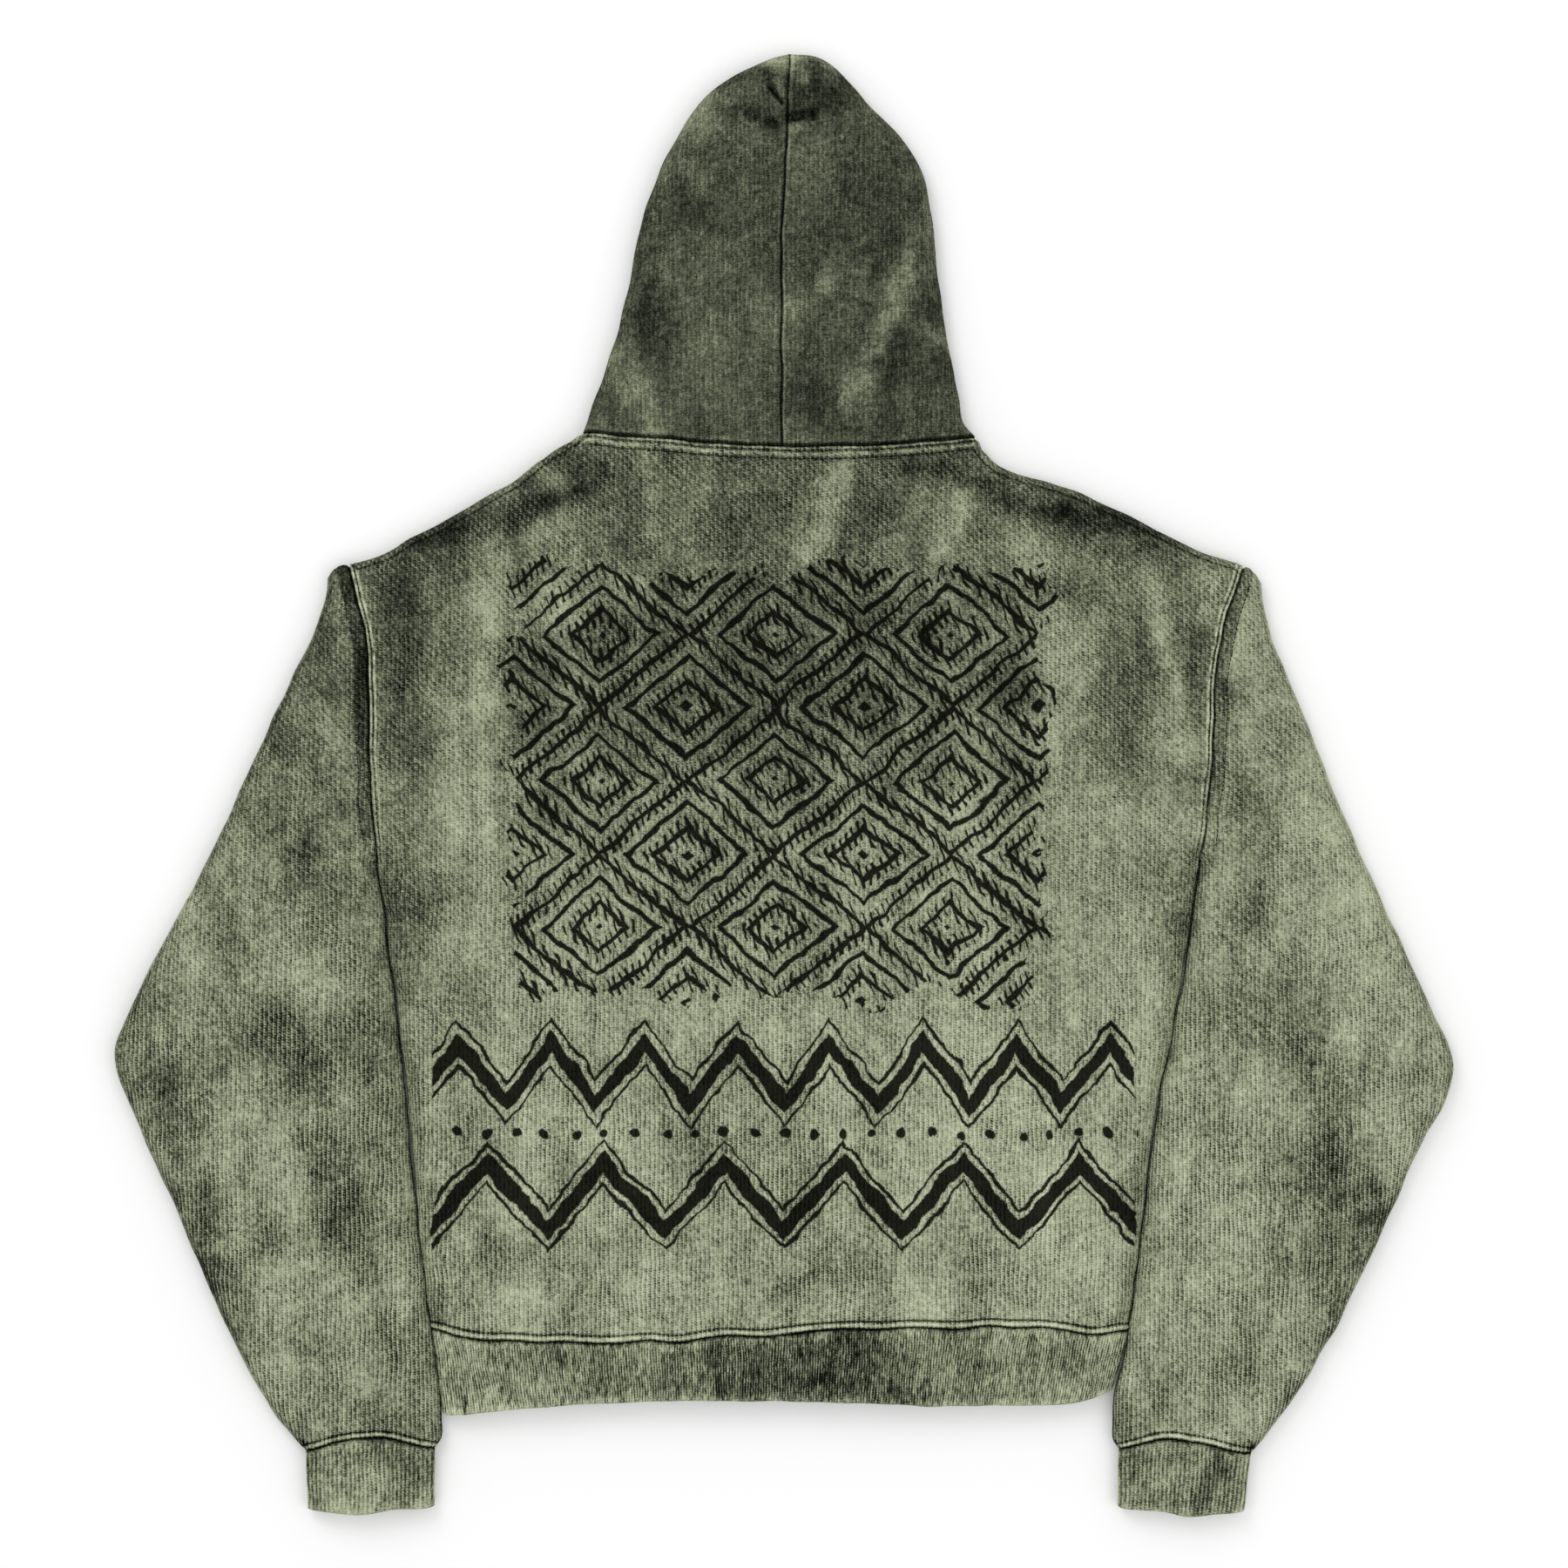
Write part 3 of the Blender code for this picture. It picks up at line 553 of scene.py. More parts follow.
def beside_seam(apart, points, ridges, spread, height, rows):
    """Height beside a seam: rolled into the join, up over the turned allowance, nipped at each stitch row.

    height * sum exp(-((d - ridge)/spread)^2) - 0.5 sum exp(-((d - row)/0.9)^2) - 1.5 exp(-d^2), with
    small puckers along it.
    """
    pucker = 1 + 0.45 * waves(points, 6.5, 21)
    lift = height * sum(hill(apart, middle, spread) for middle in ridges) * pucker
    nip = 0.5 * sum(hill(apart, row, ROW_SPREAD) for row in rows)
    ripple = 0.28 * waves(points, 9, 22) * np.exp(-apart / 9)
    return lift - nip + ripple - 1.5 * hill(apart, 0, 1.0)


def seam_dye(apart, points, ridges, spread, rows, strength=0.12):
    """Dye beside a seam: rubbed pale on the ridges, dark in the join and along the stitch rows."""
    rubbed = strength * sum(hill(apart, middle, spread) for middle in ridges)
    dark = 0.24 * hill(apart, 0, 0.9) + 0.12 * sum(hill(apart, row, ROW_SPREAD) for row in rows)
    return rubbed * (1 + 0.5 * waves(points, 8, 23)) - dark


# Wash streaks of the back. The dark strokes just under the shoulder slopes, from (-242, 174) to (-128, 222)
# and from (92, 228) to (262, 185), are partly dye and partly painted shade of the drape valleys there.
BACK_STREAKS_AND_SHOULDER_SHADE = [
    (-98, 234, -87, 184, 8, 0.1), (-242, 174, -182, 193, 8, -0.12), (-178, 197, -128, 222, 7, -0.12),
    (-188, 222, -166, 214, 7, 0.15), (-278, 184, -240, 158, 14, -0.07), (-209, 178, -212, 108, 10, 0.12),
    (-212, 108, -220, 43, 10, 0.14), (-232, 43, -236, -22, 13, 0.1), (-178, 182, -166, 125, 12, 0.12),
    (-252, 155, -252, 140, 8, 0.07), (-275, 150, -272, 70, 11, -0.08), (-275, 32, -262, 4, 14, -0.07),
    (-150, 232, -136, 214, 10, -0.08), (40, 228, 31, 191, 7, 0.13), (31, 191, 17, 160, 8, 0.12),
    (129, 206, 108, 163, 9, 0.13), (168, 186, 180, 154, 11, 0.08), (92, 228, 128, 214, 7, -0.11),
    (128, 214, 178, 196, 8, -0.14), (178, 196, 206, 188, 8, -0.16), (206, 188, 262, 185, 7, -0.13),
    (215, 172, 210, 142, 12, -0.06), (255, 156, 268, 122, 7, 0.12), (268, 122, 276, 64, 7, 0.13),
    (276, 64, 288, 21, 8, 0.1), (300, 150, 300, 116, 9, 0.11), (292, 106, 290, 46, 8, -0.08),
    (196, 120, 196, 34, 15, 0.1), (240, 106, 232, 24, 14, -0.04), (-272, -64, -266, -122, 11, -0.07),
    (-200, -338, -156, -348, 14, -0.06), (43, -333, 4, -366, 10, -0.1), (120, -322, 134, -360, 14, -0.05),
    (268, -68, 274, -92, 12, -0.06), (0, 60, 20, -20, 34, -0.03), (-120, -90, -60, -160, 30, 0.03),
    (90, -120, 150, -230, 32, 0.03), (-60, -250, 60, -300, 26, -0.025), (-214, 31, -214, -36, 6, 0.14),
    (28, 232, 90, 230, 8, -0.07), (111, 227, 123, 212, 7, -0.12), (-177, 146, -150, 146, 12, 0.07),
    (-139, 153, -106, 133, 13, 0.08), (3, 189, -8, 143, 7, -0.06), (91, 158, 110, 157, 8, -0.07),
    (230, 167, 254, 158, 10, -0.08), (-203, 210, -173, 211, 6, 0.08), (174, 142, 190, 140, 10, 0.06),
    (212, -336, 218, -347, 12, -0.04), (55, -364, 64, -374, 8, 0.05), (-244, -382, -242, -389, 7, 0.04),
    (-172, -395, -162, -398, 8, 0.04), (48, 148, 26, 154, 9, 0.05),
]
BACK_DYE = 0.39
STREAK_RELIEF = 2.4
ROW_SPREAD = 0.9
THREAD = 0.36
STITCH = 2.6
STITCH_PITCH = 3.2
STITCH_RINGS = 5
STITCH_SIDES = 6
THREAD_DYE = 0.1
NECK_RIDGES = (1.5, 5.7)
NECK_ROW = 9.0
SHOULDER_ROW = 5.0
HEM_RIDGE = 2.6
HEM_ROW = 5.2
ARM_RIDGES = (1.7, 4.7)
ARM_ROW = 3.1


def beside(line, apart, first=0.02, last=0.98):
    """A row this far to the left of a line, kept clear of its ends."""
    return along(shifted(line, apart), np.linspace(first, last, 120))


def stitching(name, rows):
    """Rows of machine stitches as one piece. A row is (line, height of the cloth's face, 1 up or -1 down).

    A stitch is a row of rings at s from -1 to 1 along it, THREAD * sqrt(1 - 0.8 s^2) in radius and
    0.3 (1 - s^2) - 0.12 above the cloth, so that its middle stands up and both its ends sink in.
    """
    s = np.linspace(-1, 1, STITCH_RINGS)
    turn = np.arange(STITCH_SIDES) * 2 * np.pi / STITCH_SIDES
    rings = []
    for line, surface, up in rows:
        length = line_lengths(line)[-1]
        count = int(length / STITCH_PITCH)
        middle = (np.arange(count)[:, None] + 0.5) / count
        place = along(line, middle + s * STITCH / 2 / length)
        run = np.gradient(place, axis=1)
        run /= np.linalg.norm(run, axis=-1, keepdims=True)
        side = np.stack([-run[..., 1], run[..., 0], 0 * run[..., 0]], axis=-1)[..., None, :]
        spoke = np.cos(turn)[:, None] * side + np.sin(turn)[:, None] * [0, 0, 1]
        height = surface(place) + up * (0.3 * (1 - s**2) - 0.12)
        centre = np.concatenate([swayed(place), height[..., None]], axis=-1)[..., None, :]
        rings.append(centre + up * THREAD * np.sqrt(1 - 0.8 * s**2)[:, None, None] * spoke)
    points = np.vstack([ring.reshape(-1, 3) for ring in rings])
    size = STITCH_RINGS * STITCH_SIDES
    start = np.arange(0, len(points), size)[:, None, None]
    ring, near = np.arange(STITCH_SIDES), np.arange(size - STITCH_SIDES)
    beyond = near + np.where((near + 1) % STITCH_SIDES, 1, 1 - STITCH_SIDES)
    walls = start + np.stack([near, beyond, beyond + STITCH_SIDES, near + STITCH_SIDES], axis=-1)
    ends = start + np.array([ring[::-1], ring + near[-1] + 1])
    faces = walls.reshape(-1, 4).tolist() + ends.reshape(-1, STITCH_SIDES).tolist()
    values = {"dye_and_painted_light": np.full(len(points), THREAD_DYE), "knit": points}
    return new_piece(name, points, faces, values, thread)


def panel_seams(points, neck_line):
    """Distances to a body panel's neck, hem and armhole seams, and the dye that these give it."""
    neck, hem = distance_to(points, neck_line), distance_to(points, hem_seam)
    arms = distance_to(points, left_armhole, right_armhole)
    shown = 0.35 + 0.65 * ease((points[..., 1] + 40) / 90)
    dye_and_painted_light = (
        seam_dye(neck, points, NECK_RIDGES, 1.4, [NECK_ROW], 0.2) - 0.24 * hill(neck, 3.0, 0.7)
        + seam_dye(hem, points, [HEM_RIDGE], 1.0, [HEM_ROW], 0.22) - 0.16 * hill(hem, 0, 0.9)
        - 0.26 * hill(hem, HEM_ROW, 0.7) + seam_dye(arms, points, ARM_RIDGES, 0.8, [ARM_ROW], 0.36) * shown
    )
    return neck, hem, arms, dye_and_painted_light


def back_finish(points):
    """Relief and dye of the back: streaks with their ridges, slow ripples, and the four kinds of seam.

    The colour runs from 0 black to 1 white: paler to the waist, and darkest inside the folded sides, where
    painted shade stands in for the cloth turning down beside the sleeves.
    """
    x, y = points[..., 0], points[..., 1]
    neck, hem, arms, dye_and_painted_light = panel_seams(points, back_neck)
    slope = distance_to(points, left_slope, right_slope)
    sides = distance_to(points, left_edge, right_edge)
    # These streaks carry the dye and, under the shoulders, painted shade of the drape valleys.
    washed = streaks(points, BACK_STREAKS_AND_SHOULDER_SHADE)
    away = ease(np.minimum(np.minimum(neck, hem), arms) / 30)
    slow = 0.7 * waves(points, 95, 31) + 0.35 * waves(points, 38, 32)
    relief = (
        (STREAK_RELIEF * washed + slow) * away
        + beside_seam(neck, points, NECK_RIDGES, 1.2, 0.6, [NECK_ROW])
        + beside_seam(hem, points, [HEM_RIDGE], 1.4, 0.8, [HEM_ROW])
        + beside_seam(arms, points, ARM_RIDGES, 0.9, 0.6, [ARM_ROW])
        - 0.5 * hill(slope, SHOULDER_ROW, 1.0) + 0.9 * hill(neck, 16, 6) * waves(points, 24, 33)
    )
    dye_and_painted_light = (
        dye_and_painted_light + washed + 0.035 * waves(points, 60, 34)
        + BACK_DYE + 0.11 * ease((70 - y) / 110) + 0.09 * ease((-70 - y) / 150)
        + 0.03 * ease(x / 150) - 0.045 * ease((y - HOOD_Y) / 40)
        # The two terms in sides are painted shade: a darker band inside each side fold and a dark line on the
        # fold.
        - 0.09 * hill(sides, 6, 8) - 0.30 * hill(sides, 0, 0.7) - 0.12 * hill(slope, 5.2, 0.9)
    )
    return relief, dye_and_painted_light


INK = (7, 7, 5)
LOZENGE_WIDTH = 62.0
LOZENGE_HEIGHT = 52.0
LOZENGE_RING = 13.0
OUTLINE_HALF = 1.7
TICK_PITCH = 5.2
TICK_HALF = 0.9
INK_MIDDLE = (-6, 2)
INK_HALF = (186, 150)
ZIGZAGS = [(-205, 22, 66, 4.6), (-205, 22, 66, -1), (-292, 24, 84, 5), (-292, 24, 84, -1)]
ZIGZAG_HALF_WIDTH = 250.0
ECHO_APART = 9.5
ECHO_HALF = 1.1
DOT_DROP = 248.0
DOT_HALF_PITCH = 10.5
DOT_RADIUS = 3.4
INK_WEAR = 0.35
INK_COVER = 0.97


def brushed_ink(tree, place, rough):
    """How far the ink covers, up to INK_COVER: depth into a stroke in mm, worn by the cloth's roughness.

    Nested lozenges whose every other ring is hatched fill a ragged block. Under it run bold zigzags
    with a thin echo and a row of dots. A stroke's depth is its half width - the distance to its middle.
    In ZIGZAGS each is (middle, height, pitch, half width), and a half width below 0 makes the echo.
    """
    x, y = (
        axis * 1000 + clouds(tree, place, 34, 2, seed) * 7 + clouds(tree, place, 7, 2, seed + 1) * 2
        for axis, seed in zip(axes(tree, place), (21, 23))
    )
    swell = clouds(tree, place, 22, 2, 25) * 1.4
    steep = np.hypot(LOZENGE_WIDTH, LOZENGE_HEIGHT)
    across = (x - INK_MIDDLE[0]).by("PINGPONG", LOZENGE_WIDTH) * (LOZENGE_HEIGHT / steep)
    ring = across + (y - INK_MIDDLE[1]).by("PINGPONG", LOZENGE_HEIGHT) * (LOZENGE_WIDTH / steep)
    outline = swell + OUTLINE_HALF - ring.by("PINGPONG", LOZENGE_RING / 2)
    ticks = swell + TICK_HALF - (x * 0.9 + y * 0.35).by("PINGPONG", TICK_PITCH / 2)
    hatched = ticks.by("MINIMUM", ring.by("PINGPONG", LOZENGE_RING) - 0.52 * LOZENGE_RING)
    sides, ends = (
        (axis - middle).by("ABSOLUTE") * -1 + half
        for axis, middle, half in zip((x, y), INK_MIDDLE, INK_HALF)
    )
    block = sides.by("MINIMUM", ends) + clouds(tree, place, 40, 4, 26) * 46
    depth = outline.by("MAXIMUM", hatched).by("MINIMUM", block)
    band = x.by("ABSOLUTE") * -1 + ZIGZAG_HALF_WIDTH
    for middle, height, pitch, half in ZIGZAGS:
        zigzag = x.by("PINGPONG", pitch / 2) * (4 * height / pitch) - height + middle
        level = 1 / np.hypot(1, 4 * height / pitch)
        if half > 0:
            stroke = swell * 1.5 + half - ((y - zigzag) * level).by("ABSOLUTE")
        else:
            apart = (y - zigzag).by("ABSOLUTE") * level - ECHO_APART
            stroke = swell + ECHO_HALF - apart.by("ABSOLUTE")
        depth = depth.by("MAXIMUM", stroke.by("MINIMUM", band))
    dots = x.by("PINGPONG", DOT_HALF_PITCH).by("POWER", 2) + (y + DOT_DROP).by("POWER", 2)
    dots = (dots.by("SQRT") * -1 + DOT_RADIUS).by("MINIMUM", band)
    depth = depth.by("MAXIMUM", dots) + rough * INK_WEAR
    return (depth * 1.6 + 0.5).within(0, INK_COVER)


fleece_finish = dict(knit_waves=FLEECE_KNIT, contrast=0.155, grain=0.41, cloud=1.55, relief=0.5)
fleece = washed_cloth("washed fleece", **fleece_finish)
printed_fleece = washed_cloth("printed fleece", **fleece_finish, ink=brushed_ink)
thread = washed_cloth("dyed thread", [(0.6, 5.2, 3.1, 0, 0)], contrast=0.05, grain=0.1, cloud=0.3, relief=0.1)


def back_height(points):
    """Height of the back's middle surface over the floor."""
    return laid(points, body_folds, body_loft(points), True, SEAM_GAP / 2)


def back_face(points):
    """Height of the back's outer face."""
    return back_height(points) + back_finish(points)[0]


plan = body_plan(back_neck)
relief, dye_and_painted_light = back_finish(plan)
layer = (plan, back_height(plan), relief, FLEECE, dye_and_painted_light, True)
back = sewn_cloth("back", "back_panel", [layer], printed_fleece)
back_rows = [
    beside(back_neck, -NECK_ROW), beside(hem_seam, HEM_ROW), beside(left_armhole, -ARM_ROW),
    beside(right_armhole, ARM_ROW), beside(left_slope, -SHOULDER_ROW), beside(right_slope, SHOULDER_ROW),
]
back_stitching = stitching("back_stitching", [(row, back_face, 1) for row in back_rows])


# ------------------------------------------------------------------ front panel
# The front lies under the back, on the floor. It is the same fleece, cut with a lower neck, and it is
# held a little off the floor over the pouch pocket that is sewn to it.

FRONT_NECK_LEFT = [(-126, 214), (-82, 178), (-40, 164), (-3, 160)]
FRONT_NECK_RIGHT = [(118, 212), (75, 178), (34, 164), (-3, 160)]
FRONT_DYE = 0.42
POCKET_CENTRE = -3.0
POCKET_HALF_WIDTH = 165.0
POCKET_TOP_HALF_WIDTH = 95.0
POCKET_TOP = -205.0
POCKET_SIDE_TOP = -325.0
POCKET_FOOT = -385.5
POCKET_ROOM = 6.4
POCKET_EASE = 30.0
POCKET_STEP = 24.0

left_front_neck, right_front_neck, front_neck = neck_lines(FRONT_NECK_LEFT, FRONT_NECK_RIGHT)


def pocket_lift(points):
    """How far the pouch pocket under it holds the front panel off the floor."""
    x, y = points[..., 0] - POCKET_CENTRE, points[..., 1]
    inside = np.minimum(POCKET_HALF_WIDTH - np.abs(x), POCKET_TOP - y)
    edge_lift = (FLEECE + SEAM_GAP) * ease(1 + (inside + 4) / POCKET_STEP)
    return edge_lift + POCKET_ROOM * ease((np.minimum(inside, y - POCKET_FOOT) - 4) / POCKET_EASE)


def under_dye(points, level, seed):
    """Dye of a layer that faces the floor: clouded, with slow seeded streaks along the cloth."""
    drag = points * [1.0, 0.3]
    return level + 0.06 * waves(drag, 42, seed) + 0.045 * waves(points, 90, seed + 1)


def front_finish(points):
    """Relief and dye of the front: it only lifts off the floor, at its seams and in low ripples.

    It is clouded as the back is, with the same dark joins and pale edges.
    """
    neck, hem, arms, dye_and_painted_light = panel_seams(points, front_neck)
    seams = sum(
        0.5 * hill(apart, row, ROW_SPREAD) + 1.4 * hill(apart, 0, 1)
        for apart, row in ((neck, NECK_ROW), (hem, HEM_ROW), (arms, ARM_ROW))
    )
    relief = -seams - 0.7 * np.abs(waves(points, 80, 41)) - 0.3 * np.abs(waves(points, 30, 42))
    level = FRONT_DYE + 0.12 * ease((60 - points[..., 1]) / 160)
    return relief, under_dye(points, level, 43) + dye_and_painted_light


def front_height(points):
    """Height of the front's middle surface over the floor."""
    return laid(points, body_folds, pocket_lift(points), False, SEAM_GAP / 2)


def front_face(points):
    """Height of the front's outer face, which looks down."""
    return front_height(points) - front_finish(points)[0]


plan = body_plan(front_neck)
relief, dye_and_painted_light = front_finish(plan)
layer = (plan, front_height(plan), relief, FLEECE, dye_and_painted_light, False)
front = sewn_cloth("front", "front_panel", [layer], fleece)
front_rows = [beside(front_neck, -NECK_ROW), *back_rows[1:4]]
front_stitching = stitching("front_stitching", [(row, front_face, -1) for row in front_rows])


# ------------------------------------------------------------------ pouch pocket
# A six-sided patch of the same fleece, sewn to the front along its top, foot and lower sides. Its two
# slanted edges are turned in, double-stitched and left open for the hands.

POCKET_DYE = 0.5
POCKET_EDGE = 1.5
POCKET_ROWS = (5.0, 11.0)


def pocket_edge_distance(points):
    """Distance inward from the pocket's outline."""
    x, y = np.abs(points[..., 0] - POCKET_CENTRE), points[..., 1]
    run = np.array([POCKET_TOP_HALF_WIDTH - POCKET_HALF_WIDTH, POCKET_TOP - POCKET_SIDE_TOP])
    run /= np.linalg.norm(run)
    slant = run[1] * (POCKET_HALF_WIDTH - x) + run[0] * (y - POCKET_SIDE_TOP)
    return np.minimum(np.minimum(POCKET_HALF_WIDTH - x, slant), np.minimum(POCKET_TOP - y, y - POCKET_FOOT))


def pocket_round(points):
    """How far the pocket's face falls back at its outline: a quarter round of half the cloth's thickness."""
    return FLEECE / 2 * (1 - quarter_round(pocket_edge_distance(points), POCKET_EDGE))


def pocket_relief(points):
    """Relief of the pocket's face: rounded at the outline, nipped in at the stitch rows, slowly rippled."""
    edge = pocket_edge_distance(points)
    nip = 0.45 * sum(hill(edge, row, ROW_SPREAD) for row in POCKET_ROWS)
    return -pocket_round(points) - nip - 0.25 * np.abs(waves(points, 34, 51))


rows = np.unique(np.r_[
    POCKET_FOOT + (POCKET_SIDE_TOP - POCKET_FOOT) * spaced(60, last=False),
    POCKET_SIDE_TOP + (POCKET_TOP - POCKET_SIDE_TOP) * spaced(120, first=False),
])
width = np.interp(rows, [POCKET_FOOT, POCKET_SIDE_TOP, POCKET_TOP],
                  [POCKET_HALF_WIDTH, POCKET_HALF_WIDTH, POCKET_TOP_HALF_WIDTH])
across = POCKET_CENTRE + width[:, None] * (2 * spaced(300) - 1)
plan = np.stack(np.broadcast_arrays(across, rows[:, None]), axis=-1)
edge = np.maximum(pocket_edge_distance(plan), 0)
dye_and_painted_light = (
    under_dye(plan, POCKET_DYE, 52) + 0.2 * hill(edge, 2.6, 1.6) - 0.22 * hill(edge, 0, ROW_SPREAD)
    - 0.18 * sum(hill(edge, row, 0.8) for row in POCKET_ROWS)
)
layer = (plan, 0.0, pocket_relief(plan), FLEECE - pocket_round(plan), dye_and_painted_light, False)
pouch = sewn_cloth("pouch", "pouch_pocket", [layer], fleece)
pocket_rows = []
for side in (-1, 1):
    foot = (POCKET_CENTRE + side * POCKET_HALF_WIDTH, POCKET_FOOT)
    waist = (POCKET_CENTRE + side * POCKET_HALF_WIDTH, POCKET_SIDE_TOP)
    head = (POCKET_CENTRE + side * POCKET_TOP_HALF_WIDTH, POCKET_TOP)
    apart = side * POCKET_ROWS[0]
    pocket_rows += [beside(np.array([waist, head]), side * row, 0.04, 0.96) for row in POCKET_ROWS]
    pocket_rows += [
        beside(np.array([foot, waist]), apart, 0.08, 1.0),
        beside(np.array([(POCKET_CENTRE, POCKET_FOOT), foot]), apart, 0, 0.97),
        beside(np.array([(POCKET_CENTRE, POCKET_TOP), head]), -apart, 0, 0.97),
    ]
pocket_stitching = stitching(
    "pouch_stitching", [(row, lambda place: -pocket_relief(place), -1) for row in pocket_rows])


# ------------------------------------------------------------------ sleeves
# Each sleeve is one wide piece of the fleece sewn into a tube, set into the dropped armhole and laid
# down beside the body. Its outer edge is a fold, and it bags in creases at the elbow and the wrist.

SLEEVE_LOFT = 24.0
CUFF_LOFT = 6.0
SLEEVE_IN_LEFT = [(-282, -117), (-272, -199), (-260, -321), (-251, -390), (-244, -452), (-245, -468)]
SLEEVE_IN_RIGHT = [(285, -135), (269, -214), (254.5, -321), (245.5, -391), (234, -455), (235, -468)]
SLEEVE_ROW = 8.8
CUFF_RIDGE = 2.4
CUFF_ROW = 4.6

LEFT_SLEEVE_STREAKS = [
    (-344, -469, -341, -475, 2.6, -0.25), (-358, -36, -300, -74, 16, -0.09),
    (-405, -80, -385, -108, 12, -0.06), (-424, -88, -416, -122, 9, 0.07),
    (-360, -116, -324, -152, 14, 0.09), (-358, -172, -338, -206, 14, -0.1),
    (-448, -212, -428, -292, 13, -0.09), (-415, -292, -404, -352, 12, -0.15),
    (-392, -216, -378, -294, 12, 0.09), (-358, -250, -344, -288, 11, 0.08),
    (-322, -292, -314, -316, 17, -0.13), (-361, -314, -361, -324, 11, -0.08),
    (-328, -345, -314, -372, 18, 0.1), (-336, -370, -332, -394, 10, -0.09),
    (-294, -344, -286, -400, 10, -0.09), (-386, -364, -376, -406, 10, -0.07),
    (-368, -400, -354, -450, 12, 0.07), (-322, 104, -316, 68, 8, -0.06), (-328, 54, -324, 26, 7, 0.08),
    (-354, 38, -352, 20, 7, -0.07), (-300, -440, -280, -455, 14, -0.05), (-430, -180, -400, -200, 16, 0.03),
    (-373, -160, -355, -177, 12, 0.06), (-324, -166, -299, -257, 22, 0.05),
    (-398, -40, -378, -69, 13, -0.06), (-323, -17, -310, -57, 15, -0.08),
    (-404, -329, -346, -461, 6, -0.05), (-316, 78, -315, 66, 8, 0.05), (-271, -67, -264, -89, 9, 0.04),
    (-365, -32, -357, -30, 8, 0.04), (-300, -313, -288, -353, 10, 0.03),
]
RIGHT_SLEEVE_STREAKS = [
    (336, -470, 333, -476, 2.6, -0.25), (326, -10, 336, -90, 15, -0.1), (352, -150, 386, -210, 20, -0.09),
    (372, -268, 404, -312, 20, -0.1), (420, -286, 406, -330, 12, -0.14), (398, -332, 382, -382, 13, -0.12),
    (330, -368, 326, -428, 11, -0.09), (378, -24, 408, -104, 16, 0.05), (398, -166, 424, -236, 16, 0.06),
    (330, -206, 320, -386, 17, 0.045), (314, -62, 310, -108, 9, 0.06), (446, -186, 452, -226, 12, 0.05),
    (350, -400, 340, -450, 12, 0.05), (352, 60, 350, 20, 9, -0.05), (280, -430, 262, -456, 13, -0.04),
    (461, -174, 470, -228, 10, 0.08), (349, -211, 369, -239, 12, -0.04), (356, -309, 386, -316, 8, -0.06),
    (414, -300, 388, -400, 8, -0.07), (378, 0, 390, -30, 10, -0.06), (317, 72, 322, 20, 5, -0.1),
    (292, -422, 307, -422, 10, 0.05), (290, -452, 329, -454, 8, -0.05), (421, -236, 428, -246, 10, -0.04),
    (367, -163, 366, -176, 10, 0.04),
]
ELBOW_CREASES = [
    (-474, -196, -436, -186, 4.5, 0.9), (-470, -206, -440, -214, 4, -0.8),
    (-466, -178, -438, -164, 5, -0.6), (-300, -456, -286, -440, 3, 0.6), (-322, -462, -312, -444, 3, -0.5),
    (-276, -462, -270, -444, 3, 0.5), (474, -204, 436, -196, 4.5, 0.9), (468, -214, 438, -224, 4, -0.8),
    (462, -186, 436, -172, 5, -0.6), (300, -460, 292, -440, 3, 0.6), (322, -466, 312, -446, 3, -0.5),
    (262, -462, 260, -444, 3, 0.5),
]


def sleeve_loft(points):
    """How high a sleeve stands over its folds: as the body at the armhole, low at the ribbed cuff."""
    y = points[..., 1]
    loft = BODY_LOFT + (SLEEVE_LOFT - BODY_LOFT) * ease((20 - y) / 200)
    return CUFF_LOFT + (loft - CUFF_LOFT) * ease((y + 470) / 120)


def gathers(points, seam, spacing, reach):
    """Small upright tucks that fade away from a gathered seam: cos(2 pi x / spacing) exp(-d / reach)."""
    apart = distance_to(points, seam)
    phase = 2 * np.pi * points[..., 0] / spacing + 1.6 * waves(points, 40, 61)
    return np.cos(phase) * np.exp(-apart / reach) * ease(apart / 3)


def folded_cloth(name, side, sheets, height, relief, rows, material):
    """A piece in two layers that meet in a fold, and the stitching on it.

    sheets holds (plan, thickness, dye) of the upper layer (True) and the under one (False), and height
    and relief take points and which layer they are on. A row is (line, layer).
    """
    piece = sewn_cloth(f"{name}_{side}_cloth", f"{name}_{side}", [
        (plan, height(plan, upper), relief(plan, upper), thickness, dye_and_painted_light, upper == (side == "left"))
        for upper, (plan, thickness, dye_and_painted_light) in sheets.items()
    ], material)
    faces = {
        True: lambda points: height(points, True) + relief(points, True),
        False: lambda points: height(points, False) - relief(points, False),
    }
    rows = [(row, faces[upper], 1 if upper else -1) for row, upper in rows]
    threads = stitching(f"{name}_{side}_stitching", rows)


